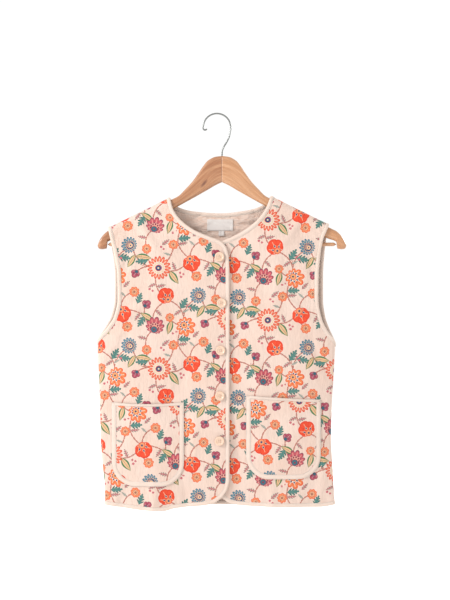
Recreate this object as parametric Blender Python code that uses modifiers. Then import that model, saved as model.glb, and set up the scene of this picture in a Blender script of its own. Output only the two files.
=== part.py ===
"""Waistcoat of printed cotton, buttoned down the front, on a wooden hanger with a wire hook.

Sizes are in millimetres and turned to metres where a mesh is made. +Z is up and the
front faces -Y. The origin is the highest point inside the hook, where it hangs.
Left and right are the viewer's, who looks along +Y.
"""
import math

import bmesh
import bpy
import numpy as np
from mathutils import Matrix

MM = 0.001
GAP = 0.3

# Cloth
WALL = 2.4
BACK_CLOTH = 1.0
LINING = 1.0
BINDING_CLOTH = 1.0
BINDING_GAP = 0.75
NOSE_GAP = 1.0
BINDING_WIDTH = 8.0
BINDING_EASE = 28.0
POCKET_CLOTH = 1.6
POCKET_STRIP = 1.3
LABEL_CLOTH = 1.0

# The hanger
HANGER_X = 9.0
ARM_THICKNESS = 12.0
ARM_BOW = 10.0
ARM_REACH = 222.0
BAR_DIAMETER = 6.7
BAR_Z = -233.6
BAR_REACH = 204.4
ARM_SEAT = 4.1
WIRE = 3.0
HOOK_RADIUS = 24.7

# Where the shoulder seams lie: over the arms, on one slope each side
SHOULDER_REL = 88.7
SHOULDER_Z = -148.0
SHOULDER_SLOPE = 0.497
SHOULDER_COS = 1.0 / math.hypot(1.0, SHOULDER_SLOPE)

# How the cloth stands off its middle sheet
CREST_RADIUS = 10.0
SHOULDER_HALF = 9.2
SHOULDER_SPREAD = 70.0
SIDE_FOLD = 5.0
SIDE_SPREAD = 100.0
UNDERARM_Z = -410.0
UNDERARM_SPREAD = 60.0
LAP = 2.4
LAP_SPREAD = 45.0
OVER_LAP_START = -62.0
UNDER_LAP_END = 80.0
BOW_TOP = -215.0
BOW_BOTTOM = -700.0
BOW_AT_HEM = 0.35

# Half depth of the hanging garment at each height: z, front, back
DEPTHS = (
    (-705.0, 13.5, 11.0),
    (-620.0, 15.0, 12.0),
    (-520.0, 17.0, 13.0),
    (-420.0, 19.0, 14.0),
    (-330.0, 21.0, 15.0),
    (-235.0, 20.0, 13.5),
    (-150.0, 12.0, 11.0),
)

# Furthest the garment reaches at each height, carried on above the underarm: z, left x, right x
SIDES = (
    (-710.0, -199.3, 210.2),
    (-694.0, -199.5, 209.9),
    (-657.0, -200.9, 207.6),
    (-626.0, -204.2, 206.0),
    (-580.0, -207.2, 203.6),
    (-518.0, -208.6, 205.2),
    (-462.0, -210.3, 208.3),
    (-425.0, -211.9, 210.2),
    (-408.0, -211.7, 210.8),
    (-300.0, -212.0, 213.0),
    (-150.0, -214.0, 216.0),
)

# Soft vertical folds: face, x, half width, height outwards, z where deepest, z where it has died out
FOLDS = (
    ("over", -108.0, 24.0, 3.6, -705.0, -560.0),
    ("over", -168.0, 15.0, -2.4, -700.0, -600.0),
    ("under", 118.0, 26.0, 2.6, -700.0, -580.0),
    ("under", 170.0, 18.0, -2.0, -690.0, -600.0),
    ("over", -128.0, 26.0, -1.8, -330.0, -480.0),
    ("under", 138.0, 26.0, -1.8, -330.0, -480.0),
    ("back", -118.0, 26.0, 3.6, -700.0, -380.0),
    ("back", -34.0, 30.0, -2.6, -700.0, -330.0),
    ("back", 48.0, 28.0, 3.2, -700.0, -400.0),
    ("back", 132.0, 26.0, -2.4, -700.0, -360.0),
)

# Edges of the pieces: share of the way up, x, z. An outer edge runs up the side seam to the
# underarm, where SIDES gives its x, and then round the armhole.
UNDERARM_SHARE = 0.55
OVER_INNER = (
    (0.000, 7.4, -683.8),
    (0.035, 17.2, -669.2),
    (0.070, 20.6, -652.0),
    (0.300, 20.6, -535.0),
    (0.550, 20.6, -408.0),
    (0.740, 20.6, -285.0),
    (0.780, 19.4, -258.0),
    (0.805, 15.0, -240.0),
    (0.825, 5.0, -229.5),
    (0.850, -12.6, -222.5),
    (0.890, -41.0, -210.2),
    (0.930, -66.4, -191.1),
    (0.965, -80.0, -171.3),
    (1.000, -85.5, -150.9),
)
UNDER_INNER = (
    (0.000, 8.7, -683.8),
    (0.035, -1.1, -669.2),
    (0.070, -4.5, -652.0),
    (0.300, -4.5, -535.0),
    (0.550, -4.5, -408.0),
    (0.740, -4.5, -285.0),
    (0.780, -3.3, -256.0),
    (0.805, 0.5, -240.5),
    (0.825, 9.5, -230.3),
    (0.850, 26.9, -222.6),
    (0.890, 52.5, -208.5),
    (0.930, 76.0, -188.6),
    (0.965, 90.0, -167.7),
    (1.000, 97.7, -148.0),
)
LEFT_OUTER_FRONT = (
    (0.000, -199.5, -697.3),
    (0.550, -211.5, -408.0),
    (0.600, -193.2, -382.3),
    (0.640, -181.6, -364.0),
    (0.700, -174.6, -332.0),
    (0.790, -175.2, -290.0),
    (0.880, -180.8, -253.8),
    (0.950, -187.4, -226.0),
    (1.000, -192.8, -204.2),
)
LEFT_OUTER_BACK = (
    (0.000, -199.5, -697.3),
    (0.550, -211.5, -408.0),
    (0.600, -197.0, -380.5),
    (0.640, -188.0, -362.0),
    (0.700, -182.0, -332.0),
    (0.790, -181.5, -290.0),
    (0.880, -184.5, -253.8),
    (0.950, -189.0, -226.0),
    (1.000, -192.8, -204.2),
)
RIGHT_OUTER_FRONT = (
    (0.000, 209.9, -697.3),
    (0.550, 210.6, -412.0),
    (0.600, 195.0, -388.0),
    (0.640, 184.5, -366.0),
    (0.700, 178.4, -332.0),
    (0.790, 178.8, -290.0),
    (0.880, 182.1, -253.8),
    (0.950, 187.4, -226.0),
    (1.000, 198.8, -198.2),
)
RIGHT_OUTER_BACK = (
    (0.000, 209.9, -697.3),
    (0.550, 210.6, -412.0),
    (0.600, 200.5, -386.0),
    (0.640, 193.0, -364.0),
    (0.700, 189.0, -332.0),
    (0.790, 189.0, -290.0),
    (0.880, 191.0, -253.8),
    (0.950, 194.0, -226.0),
    (1.000, 198.8, -198.2),
)
# Hems and the back neck: share of the way across, x, z
OVER_HEM = (
    (0.00, 7.4, -683.8),
    (0.07, -7.2, -693.6),
    (0.15, -26.0, -697.2),
    (0.40, -76.0, -702.5),
    (0.50, -96.0, -707.2),
    (0.62, -122.2, -706.7),
    (0.77, -153.0, -703.4),
    (1.00, -199.5, -697.3),
)
UNDER_HEM = (
    (0.00, 8.7, -683.8),
    (0.07, 23.3, -693.6),
    (0.15, 40.5, -697.2),
    (0.28, 66.0, -698.8),
    (0.55, 124.9, -700.6),
    (0.82, 182.0, -700.6),
    (1.00, 209.9, -697.3),
)
BACK_HEM = (
    (0.00, -199.5, -697.3),
    (0.15, -140.0, -700.0),
    (0.35, -60.0, -699.0),
    (0.65, 70.0, -700.0),
    (0.85, 150.0, -699.0),
    (1.00, 209.9, -697.3),
)
BACK_NECK_START = 0.27
BACK_NECK_END = 0.74
BACK_NECK = (
    (0.27, -85.5, -150.9),
    (0.31, -74.0, -165.5),
    (0.38, -46.0, -174.5),
    (0.50, 6.0, -178.5),
    (0.62, 56.0, -173.0),
    (0.70, 87.0, -162.0),
    (0.74, 97.7, -148.0),
)

# Columns and rows of the cloth, closest together where it folds over
FRONT_COLUMNS = (0.0, 0.045, 0.12, 0.21, 0.32, 0.44, 0.56, 0.67, 0.77, 0.85, 0.91, 0.95,
                 0.974, 0.986, 0.9945, 0.9985, 1.0)
BACK_COLUMNS = (0.0, 0.0008, 0.003, 0.0065, 0.012, 0.03, 0.07, 0.13, 0.2, 0.27,
                0.272, 0.2765, 0.2855, 0.31, 0.355, 0.42, 0.485, 0.55, 0.61, 0.665, 0.705,
                0.7245, 0.7335, 0.738, 0.74, 0.81, 0.875, 0.93, 0.97, 0.988, 0.9935, 0.997,
                0.9992, 1.0)
CLOTH_ROWS = (0.0, 0.03, 0.075, 0.14, 0.22, 0.31, 0.41, 0.49, 0.53, 0.55, 0.552, 0.557,
              0.566, 0.577, 0.6, 0.66, 0.735, 0.8, 0.825, 0.85, 0.89, 0.93, 0.965, 0.982,
              0.9905, 0.9962, 0.999, 1.0)
LINING_START = 0.53

# Patch pockets: name, left x, right x, top z at the left, at the right, sag of the top, bottom z
POCKETS = (
    ("left", "over", -187.1, -58.8, -514.9, -514.9, 3.0, -664.7),
    ("right", "under", 52.4, 184.8, -502.7, -510.4, 1.0, -652.1),
)
POCKET_CORNER = 42.0

# Buttons from the top: x, z
BUTTONS = (
    (4.5, -256.4),
    (8.4, -338.2),
    (6.5, -422.5),
    (5.4, -503.2),
    (4.8, -583.6),
)
BUTTON_RADIUS = 8.5
BUTTON_HALF = 1.5
BUTTON_DISH = 0.7
BUTTON_STEPS = 16

# Woven label and its tab: left x, right x, bottom z, top z
LABEL = (-17.8, 29.2, -208.0, -187.6)
TAB = (2.9, 13.1, -217.4, -208.4)

# Upper and lower outline of an arm: distance from the middle, z
ARM_TOP = (
    (0.0, -74.5),
    (12.0, -76.0),
    (25.0, -82.5),
    (34.0, -93.0),
    (42.0, -105.0),
    (54.0, -121.5),
    (66.0, -134.5),
    (78.0, -146.4),
    (SHOULDER_REL, SHOULDER_Z - ARM_SEAT),
    (140.0, SHOULDER_Z - ARM_SEAT - SHOULDER_SLOPE * (140.0 - SHOULDER_REL)),
    (199.5, SHOULDER_Z - ARM_SEAT - SHOULDER_SLOPE * (199.5 - SHOULDER_REL)),
    (203.0, SHOULDER_Z - ARM_SEAT - SHOULDER_SLOPE * (203.0 - SHOULDER_REL)),
    (212.0, -216.5),
    (219.0, -227.0),
    (ARM_REACH, -235.0),
)
ARM_BOTTOM = (
    (0.0, -122.0),
    (10.0, -126.5),
    (28.0, -137.0),
    (60.0, -155.0),
    (84.0, -168.0),
    (120.0, -187.5),
    (160.0, -208.5),
    (190.0, -223.5),
    (204.8, -229.6),
    (205.9, -241.0),
    (215.0, -242.5),
    (220.0, -241.0),
    (ARM_REACH, -237.0),
)
ARM_STATIONS = (0.15, 8.0, 16.0, 24.0, 31.0, 38.0, 46.0, 55.0, 64.0, 74.0, 86.0, 102.0, 122.0,
                145.0, 168.0, 188.0, 200.0, 204.8, 205.9, 211.0, 216.0, 219.5, 221.5)


def smooth(value):
    """Ease from 0 to 1 with level ends, held at 0 below and 1 above."""
    value = np.clip(value, 0.0, 1.0)
    return value * value * (3.0 - 2.0 * value)


def read_table(table, column, at):
    """Value of a column of a table whose first column rises, as a smooth curve through its rows.

    Between rows it is a cubic whose slope at a row is the harmonic mean of the slopes on each
    side, or level where they differ in sign, so the curve never overshoots its rows.
    """
    rows = np.array(table, dtype=float)
    keys = rows[:, 0]
    values = rows[:, column]
    steps = np.diff(keys)
    slopes = np.diff(values) / steps
    ends = np.concatenate(([slopes[0]], slopes, [slopes[-1]]))
    before = ends[:-1]
    after = ends[1:]
    same = before * after > 0.0
    bent = 2.0 * before * after / np.where(same, before + after, 1.0)
    tangents = np.where(same, bent, 0.0)
    at = np.asarray(at, dtype=float)
    place = np.clip(np.searchsorted(keys, at, side="right") - 1, 0, len(steps) - 1)
    share = np.clip((at - keys[place]) / steps[place], 0.0, 1.0)
    cubic = share ** 3
    square = share ** 2
    return (values[place] * (2 * cubic - 3 * square + 1)
            + values[place + 1] * (3 * square - 2 * cubic)
            + tangents[place] * steps[place] * (cubic - 2 * square + share)
            + tangents[place + 1] * steps[place] * (cubic - square))


def shoulder_z(x):
    """Height of the shoulder seam's line above x, the same slope on both sides of the hanger."""
    return SHOULDER_Z - SHOULDER_SLOPE * (np.abs(x - HANGER_X) - SHOULDER_REL)


def hanger_y(x):
    """Depth of the arms' middle, bowed forwards to their ends as the square of the distance."""
    return -ARM_BOW * ((x - HANGER_X) / ARM_REACH) ** 2


def half_depth(x, z, face):
    """Distance of a face's middle from the garment's middle sheet.

    A round crest over the arm at the shoulder, a tight round fold at the side seam, and
    between them a lens that is deepest in the middle.
    """
    column = 2 if face == "back" else 1
    full = read_table(DEPTHS, column, z)
    drop = np.maximum((shoulder_z(x) - z) * SHOULDER_COS, 0.0)
    crest = np.sqrt(1.0 - (1.0 - np.minimum(drop / CREST_RADIUS, 1.0)) ** 2)
    full = SHOULDER_HALF + (full - SHOULDER_HALF) * smooth(drop / SHOULDER_SPREAD)
    left = x - read_table(SIDES, 1, z)
    right = read_table(SIDES, 2, z) - x
    inward = np.maximum(np.minimum(left, right), 0.0)
    fold = SIDE_FOLD * np.sqrt(1.0 - (1.0 - np.minimum(inward / SIDE_FOLD, 1.0)) ** 2)
    rise = 1.0 - (1.0 - np.minimum(inward / SIDE_SPREAD, 1.0)) ** 2
    held = smooth((z - UNDERARM_Z) / UNDERARM_SPREAD)
    low = SHOULDER_HALF * held + fold * (1.0 - held)
    return crest * (low + (full - low) * rise)


def fold_height(x, z, face):
    """Sum of the face's soft folds: a bell across, easing out between its two heights."""
    height = np.zeros(np.broadcast(x, z).shape)
    for fold_face, middle, width, depth, deepest, gone in FOLDS:
        if fold_face == face:
            along = 1.0 - smooth((z - deepest) / (gone - deepest))
            height = height + depth * np.exp(-((x - middle) / width) ** 2) * along
    return height


def face_y(x, z, face):
    """Depth of a face's middle: the bowed middle sheet, then half the lens, folds and lap."""
    out = 1.0 if face == "back" else -1.0
    easing = smooth((BOW_TOP - z) / (BOW_TOP - BOW_BOTTOM))
    middle = hanger_y(x) * (1.0 - (1.0 - BOW_AT_HEM) * easing)
    depth = half_depth(x, z, face)
    away_from_fold = smooth(depth / SHOULDER_HALF)
    depth = depth + fold_height(x, z, face) * away_from_fold
    if face == "over":
        depth = depth + LAP * smooth((x - OVER_LAP_START) / LAP_SPREAD)
    if face == "under":
        depth = depth - LAP * smooth((UNDER_LAP_END - x) / LAP_SPREAD)
    return middle + out * (GAP / 2 + depth)


def surface(x, z, face):
    """Points of a face's middle and its outward normals, from the slopes of face_y.

    A point outside the garment's outline is first brought back to its side or shoulder.
    """
    step = 0.05
    out = 1.0 if face == "back" else -1.0
    x, z = np.broadcast_arrays(np.asarray(x, dtype=float), np.asarray(z, dtype=float))
    x = np.clip(x, read_table(SIDES, 1, z), read_table(SIDES, 2, z))
    z = np.minimum(z, shoulder_z(x))
    points = np.stack([x, face_y(x, z, face), z], axis=-1)
    slope_x = (face_y(x + step, z, face) - face_y(x - step, z, face)) / (2 * step)
    slope_z = (face_y(x, z + step, face) - face_y(x, z - step, face)) / (2 * step)
    normals = np.stack([-slope_x, np.ones_like(x), -slope_z], axis=-1) * out
    normals /= np.linalg.norm(normals, axis=-1, keepdims=True)
    return points, normals


def flatten_normals(normals):
    """Normals turned into the plane of a seam, so that both sides of it meet squarely."""
    normals = normals * np.array([1.0, 0.0, 1.0])
    return normals / np.linalg.norm(normals, axis=-1, keepdims=True)


def patch(across, up, bottom, top, start, end):
    """Points inside four edges, each blended from its two opposite pairs less the corners."""
    across = across[..., None]
    up = up[..., None]
    corners = ((1 - across) * (1 - up) * bottom[:, :1] + across * (1 - up) * bottom[:, -1:]
               + (1 - across) * up * top[:, :1] + across * up * top[:, -1:])
    return (1 - up) * bottom + up * top + (1 - across) * start + across * end - corners


def edge(table, shares):
    """The x and z of an edge's table at each share of its way."""
    return np.stack([read_table(table, 1, shares), read_table(table, 2, shares)], axis=-1)


def outer_edge(table, side_column, shares):
    """The x and z of a side seam and the armhole above it."""
    flat = edge(table, shares)
    on_seam = shares <= UNDERARM_SHARE
    flat[on_seam, 0] = read_table(SIDES, side_column, flat[on_seam, 1])
    return flat


def end_on_shoulder(flat):
    """An edge whose last point is brought onto the shoulder seam's line."""
    flat[-1, 1] = shoulder_z(flat[-1, 0])
    return flat


def front_patch(inner, outer, side_column, hem):
    """The x and z of a front's grid: hem to shoulder by rows, front edge to side by columns."""
    columns = np.array(FRONT_COLUMNS)
    rows = np.array(CLOTH_ROWS)
    start = end_on_shoulder(edge(inner, rows))
    end = end_on_shoulder(outer_edge(outer, side_column, rows))
    shoulder = start[-1] + columns[:, None] * (end[-1] - start[-1])
    across, up = np.meshgrid(columns, rows)
    return patch(across, up, edge(hem, columns)[None], shoulder[None], start[:, None], end[:, None])


def back_patch():
    """The x and z of the back's grid, whose upper edge is a shoulder, the neck and a shoulder."""
    columns = np.array(BACK_COLUMNS)
    rows = np.array(CLOTH_ROWS)
    start = end_on_shoulder(outer_edge(LEFT_OUTER_BACK, 1, rows))
    end = end_on_shoulder(outer_edge(RIGHT_OUTER_BACK, 2, rows))
    top = edge(BACK_NECK, columns)
    left = columns[:, None] / BACK_NECK_START
    right = (columns[:, None] - BACK_NECK_END) / (1.0 - BACK_NECK_END)
    neck_left = end_on_shoulder(np.array(BACK_NECK[:1], dtype=float)[:, 1:])[0]
    neck_right = end_on_shoulder(np.array(BACK_NECK[-1:], dtype=float)[:, 1:])[0]
    top = np.where(left < 1.0, start[-1] + left * (neck_left - start[-1]), top)
    top = np.where(right > 0.0, neck_right + right * (end[-1] - neck_right), top)
    across, up = np.meshgrid(columns, rows)
    return patch(across, up, edge(BACK_HEM, columns)[None], top[None], start[:, None], end[:, None])


def make_object(name, points, faces, material, collection):
    """An object from points in millimetres and faces, with its faces turned outwards."""
    mesh = bpy.data.meshes.new(name)
    mesh.from_pydata((np.asarray(points) * MM).tolist(), [], faces)
    cleaner = bmesh.new()
    cleaner.from_mesh(mesh)
    bmesh.ops.recalc_face_normals(cleaner, faces=cleaner.faces)
    cleaner.to_mesh(mesh)
    cleaner.free()
    mesh.materials.append(material)
    made = bpy.data.objects.new(name, mesh)
    collection.objects.link(made)
    return made


def wall(name, grid, normals, thickness, shift, material, collection):
    """A cloth wall: the grid moved out along its normals on both faces and closed at its rim."""
    rows, columns = grid.shape[:2]
    outer = grid + normals * (shift + thickness / 2)
    inner = grid + normals * (shift - thickness / 2)
    points = np.concatenate([outer.reshape(-1, 3), inner.reshape(-1, 3)])
    index = np.arange(rows * columns).reshape(rows, columns)
    corners = np.stack([index[:-1, :-1], index[:-1, 1:], index[1:, 1:], index[1:, :-1]], axis=-1)
    front = corners.reshape(-1, 4)
    behind = front[:, ::-1] + rows * columns
    rim = np.concatenate([index[0, :-1], index[:-1, -1], index[-1, :0:-1], index[:0:-1, 0]])
    following = np.roll(rim, -1)
    other = rows * columns
    side = np.stack([rim, following, following + other, rim + other], axis=-1)
    faces = np.concatenate([front, behind, side]).tolist()
    return make_object(name, points, faces, material, collection)


def ring_run(name, rings, closed, material, collection):
    """A solid through rings of points, joined end to end or capped at both ends."""
    count, size = rings.shape[:2]
    index = np.arange(count * size).reshape(count, size)
    following = np.roll(index, -1, axis=0) if closed else index[1:]
    first = index if closed else index[:-1]
    turned = np.roll(first, -1, axis=1)
    turned_next = np.roll(following, -1, axis=1)
    faces = np.stack([first, turned, turned_next, following], axis=-1).reshape(-1, 4).tolist()
    if not closed:
        faces.append(index[0, ::-1].tolist())
        faces.append(index[-1].tolist())
    return make_object(name, rings.reshape(-1, 3), faces, material, collection)


def make_material(name, red, green, blue, roughness, metallic=0.0):
    """A Principled material with one colour."""
    material = bpy.data.materials.new(name)
    material.use_nodes = True
    shader = material.node_tree.nodes["Principled BSDF"]
    shader.inputs["Base Color"].default_value = (red, green, blue, 1.0)
    shader.inputs["Roughness"].default_value = roughness
    shader.inputs["Metallic"].default_value = metallic
    material.diffuse_color = (red, green, blue, 1.0)
    return material


def edge_run(flat, face, inward, start_into, end_into):
    """An edge on a face: its points, normals, and its unit directions into the cloth.

    A direction is the turn of the run by a right angle in x and z, to the side that
    inward names, 1 or -1, and eases to the seam's own direction at both ends.
    """
    ahead = np.gradient(flat, axis=0)
    ahead /= np.linalg.norm(ahead, axis=-1, keepdims=True)
    into = inward * np.stack([-ahead[:, 1], ahead[:, 0]], axis=-1)
    steps = np.linalg.norm(np.diff(flat, axis=0), axis=1)
    along = np.concatenate([[0.0], np.cumsum(steps)])
    for distance, seam_into in ((along, start_into), (along[-1] - along, end_into)):
        share = smooth(distance / BINDING_EASE)[:, None]
        into = into * share + np.array(seam_into) * (1.0 - share)
    into /= np.linalg.norm(into, axis=-1, keepdims=True)
    points, normals = surface(flat[:, 0], flat[:, 1], face)
    return {"flat": flat, "into": into, "face": face, "points": points, "normals": normals}


def join_runs(runs):
    """Edge runs joined into one, with a single station on the seam where each pair meets."""
    points = []
    normals = []
    inner_points = []
    inner_normals = []
    for run, following in zip(runs, runs[1:] + runs[:1]):
        keep = slice(1, -1)
        flat_inner = run["flat"][keep] + run["into"][keep] * BINDING_WIDTH
        inner, inner_normal = surface(flat_inner[:, 0], flat_inner[:, 1], run["face"])
        points.extend(run["points"][keep])
        normals.extend(run["normals"][keep])
        inner_points.extend(inner)
        inner_normals.extend(inner_normal)
        seam = (run["points"][-1] + following["points"][0]) / 2
        seam_normal = flatten_normals(run["normals"][-1] + following["normals"][0])
        flat_inner = run["flat"][-1] + run["into"][-1] * BINDING_WIDTH
        sides = [surface(flat_inner[0], flat_inner[1], one["face"]) for one in (run, following)]
        points.append(seam)
        normals.append(seam_normal)
        inner_points.append((sides[0][0] + sides[1][0]) / 2)
        inner_normals.append(flatten_normals(sides[0][1] + sides[1][1]))
    return [np.array(one) for one in (points, normals, inner_points, inner_normals)]


def binding(name, runs, material, collection):
    """A strip folded over a closed run of edges, a leg on each face and a nose past the edge."""
    points, normals, inner, inner_normals = join_runs(runs)
    cavity = WALL / 2 + BINDING_GAP
    face = cavity + BINDING_CLOTH
    out = points - inner
    out /= np.linalg.norm(out, axis=-1, keepdims=True)
    nose = points + out * (NOSE_GAP + BINDING_CLOTH)
    pocket = points + out * NOSE_GAP
    rings = np.stack([
        inner + inner_normals * face,
        nose + normals * face,
        nose - normals * face,
        inner - inner_normals * face,
        inner - inner_normals * cavity,
        pocket - normals * cavity,
        pocket + normals * cavity,
        inner + inner_normals * cavity,
    ], axis=1)
    return ring_run(name, rings, True, material, collection)


def pocket_outline(left, right, top_left, top_right, sag, bottom, inset):
    """The closed outline of a pocket in x and z, drawn in by an inset all round.

    From the top left down the side, round the two lower corners, up and back along the
    sagging top edge.
    """
    corner = POCKET_CORNER - inset
    left = left + inset
    right = right - inset
    bottom = bottom + inset
    turn = np.linspace(0.0, math.pi / 2, 7)
    share = np.linspace(0.0, 1.0, 9)
    down = np.stack([np.full(7, left), top_left - inset + (bottom + corner - top_left + inset)
                     * np.linspace(0.0, 1.0, 8)[:-1]], axis=-1)
    first = np.stack([left + corner - corner * np.cos(turn),
                      bottom + corner - corner * np.sin(turn)], axis=-1)
    second = np.stack([right - corner + corner * np.sin(turn),
                       bottom + corner - corner * np.cos(turn)], axis=-1)
    rise = np.stack([np.full(7, right), bottom + corner + (top_right - inset - bottom - corner)
                     * np.linspace(0.0, 1.0, 8)[1:]], axis=-1)
    across = right + (left - right) * share
    height = top_right + (top_left - top_right) * share - inset
    top = np.stack([across, height - sag * 4 * share * (1 - share)], axis=-1)[1:-1]
    floor = np.stack([np.linspace(left + corner, right - corner, 5)[1:-1],
                      np.full(3, bottom)], axis=-1)
    return np.concatenate([down, first, floor, second, rise, top])


def add_pocket(side, face, left, right, top_left, top_right, sag, bottom, materials, collection):
    """A patch pocket on a front, and the strip that binds its outline."""
    across = np.linspace(0.0, 1.0, 11)
    near_floor = POCKET_CORNER * (1.0 - np.cos(np.linspace(0.0, math.pi / 2, 5)))
    height = top_left - bottom
    up = np.concatenate([near_floor, np.linspace(POCKET_CORNER, height, 6)[1:]])
    drawn_in = POCKET_CORNER - np.sqrt(POCKET_CORNER ** 2
                                       - np.maximum(POCKET_CORNER - up, 0.0) ** 2)
    start = left + drawn_in
    end = right - drawn_in
    x = start[:, None] + (end - start)[:, None] * across
    share = (x - left) / (right - left)
    top = top_left + (top_right - top_left) * share - sag * 4 * share * (1 - share)
    z = bottom + (top - bottom) * (up / height)[:, None]
    grid, normals = surface(x, z, face)
    lift = WALL / 2 + 2 * GAP
    wall("pocket_" + side, grid, normals, POCKET_CLOTH, lift + POCKET_CLOTH / 2,
         materials["print"], collection)

    outside = pocket_outline(left, right, top_left, top_right, sag, bottom, 0.0)
    inside = pocket_outline(left, right, top_left, top_right, sag, bottom, BINDING_WIDTH)
    low = lift + POCKET_CLOTH + GAP
    high = low + POCKET_STRIP
    outer, outer_normals = surface(outside[:, 0], outside[:, 1], face)
    inner, inner_normals = surface(inside[:, 0], inside[:, 1], face)
    rings = np.stack([
        outer + outer_normals * low,
        outer + outer_normals * high,
        inner + inner_normals * high,
        inner + inner_normals * low,
    ], axis=1)
    ring_run("pocket_binding_" + side, rings, True, materials["binding"], collection)


def add_fronts(materials, collection):
    """The two fronts, each a wall through its rows of sections."""
    over = front_patch(OVER_INNER, LEFT_OUTER_FRONT, 1, OVER_HEM)
    under = front_patch(UNDER_INNER, RIGHT_OUTER_FRONT, 2, UNDER_HEM)
    side_rows = np.array(CLOTH_ROWS) <= UNDERARM_SHARE
    for name, face, flat in (("front_over", "over", over), ("front_under", "under", under)):
        grid, normals = surface(flat[..., 0], flat[..., 1], face)
        normals[side_rows, -1] = flatten_normals(normals[side_rows, -1])
        normals[-1] = flatten_normals(normals[-1])
        wall(name, grid, normals, WALL, 0.0, materials["print"], collection)
    return over, under


def add_back(materials, collection):
    """The back and its lining, two walls on one grid, the lining from just below the armholes."""
    flat = back_patch()
    grid, normals = surface(flat[..., 0], flat[..., 1], "back")
    side_rows = np.array(CLOTH_ROWS) <= UNDERARM_SHARE
    columns = np.array(BACK_COLUMNS)
    on_shoulder = (columns <= BACK_NECK_START) | (columns >= BACK_NECK_END)
    for column in (0, -1):
        normals[side_rows, column] = flatten_normals(normals[side_rows, column])
    normals[-1, on_shoulder] = flatten_normals(normals[-1, on_shoulder])
    wall("back", grid, normals, BACK_CLOTH, (WALL - BACK_CLOTH) / 2, materials["print"], collection)
    lined = np.array(CLOTH_ROWS) >= LINING_START
    wall("back_lining", grid[lined], normals[lined], LINING, (LINING - WALL) / 2,
         materials["lining"], collection)
    return flat


def add_bindings(over, under, back, materials, collection):
    """The strip round neck, fronts and hem, and one round each armhole."""
    columns = np.array(BACK_COLUMNS)
    neck = (columns >= BACK_NECK_START) & (columns <= BACK_NECK_END)
    armhole = np.array(CLOTH_ROWS) >= UNDERARM_SHARE
    down = np.array((0.0, -1.0))
    up = -down
    down_left = np.array((-SHOULDER_COS, -SHOULDER_SLOPE * SHOULDER_COS))
    down_right = down_left * (-1.0, 1.0)
    over_outline = np.concatenate([over[::-1, 0], over[0, 1:]])
    under_outline = np.concatenate([under[::-1, 0], under[0, 1:]])[::-1]
    binding("edge_binding", [
        edge_run(over_outline, "over", -1.0, down_left, up),
        edge_run(back[0], "back", 1.0, up, up),
        edge_run(under_outline, "under", -1.0, up, down_right),
        edge_run(back[-1, neck][::-1], "back", 1.0, down_right, down_left),
    ], materials["binding"], collection)
    binding("armhole_binding_left", [
        edge_run(over[armhole, -1], "over", -1.0, down, -down_left),
        edge_run(back[armhole, 0][::-1], "back", 1.0, -down_left, down),
    ], materials["binding"], collection)
    binding("armhole_binding_right", [
        edge_run(back[armhole, -1], "back", 1.0, down, -down_right),
        edge_run(under[armhole, -1][::-1], "under", -1.0, -down_right, down),
    ], materials["binding"], collection)


def add_labels(materials, collection):
    """The woven label and its tab, flat cloths on the lining of the back neck."""
    lift = -(WALL / 2 + GAP + LABEL_CLOTH / 2)
    for name, (left, right, bottom, top) in (("neck_label", LABEL), ("size_tab", TAB)):
        x, z = np.meshgrid(np.linspace(left, right, 4), np.linspace(bottom, top, 3))
        grid, normals = surface(x, z, "back")
        wall(name, grid, normals, LABEL_CLOTH, lift, materials["label"], collection)


def add_buttons(materials, collection):
    """Five turned buttons with a dished face, each standing on the lapped front."""
    profile = (
        (0.0, BUTTON_HALF - BUTTON_DISH),
        (BUTTON_RADIUS - 3.0, BUTTON_HALF - BUTTON_DISH),
        (BUTTON_RADIUS - 1.8, BUTTON_HALF),
        (BUTTON_RADIUS - 0.7, BUTTON_HALF),
        (BUTTON_RADIUS, BUTTON_HALF - 0.8),
        (BUTTON_RADIUS, 0.6 - BUTTON_HALF),
        (BUTTON_RADIUS - 0.8, -BUTTON_HALF),
        (0.0, -BUTTON_HALF),
    )
    lift = WALL / 2 + BINDING_GAP + BINDING_CLOTH + GAP + BUTTON_HALF
    for number, (x, z) in enumerate(BUTTONS, start=1):
        mesh = bpy.data.meshes.new("button")
        points = [(radius * MM, 0.0, height * MM) for radius, height in profile]
        edges = [(place, place + 1) for place in range(len(points) - 1)]
        mesh.from_pydata(points, edges, [])
        mesh.materials.append(materials["button"])
        button = bpy.data.objects.new("button_%d" % number, mesh)
        collection.objects.link(button)
        turned = button.modifiers.new("turned", "SCREW")
        turned.steps = BUTTON_STEPS
        turned.render_steps = BUTTON_STEPS
        turned.use_merge_vertices = True
        turned.merge_threshold = 0.00001
        middle, normal = surface(x, z, "over")
        place = middle + normal * lift
        button.matrix_world = (Matrix.Translation((place * MM).tolist())
                               @ Matrix.Rotation(math.pi / 2, 4, "X"))


def arm_ring(reach, side):
    """Twelve points round an arm: half rounds above and below, upright sides between."""
    top = float(read_table(ARM_TOP, 1, reach))
    bottom = float(read_table(ARM_BOTTOM, 1, reach))
    half = min(ARM_THICKNESS / 2, 1.2 * (ARM_REACH + 3.0 - reach))
    rise = min(half / SHOULDER_COS, (top - bottom) / 2)
    turns = np.linspace(0.0, math.pi, 6)
    x = HANGER_X + side * reach
    y = hanger_y(x) + np.concatenate([half * np.cos(turns), -half * np.cos(turns)])
    z = np.concatenate([top - rise + rise * np.sin(turns), bottom + rise - rise * np.sin(turns)])
    return np.stack([np.full(12, x), y, z], axis=-1)


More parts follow.
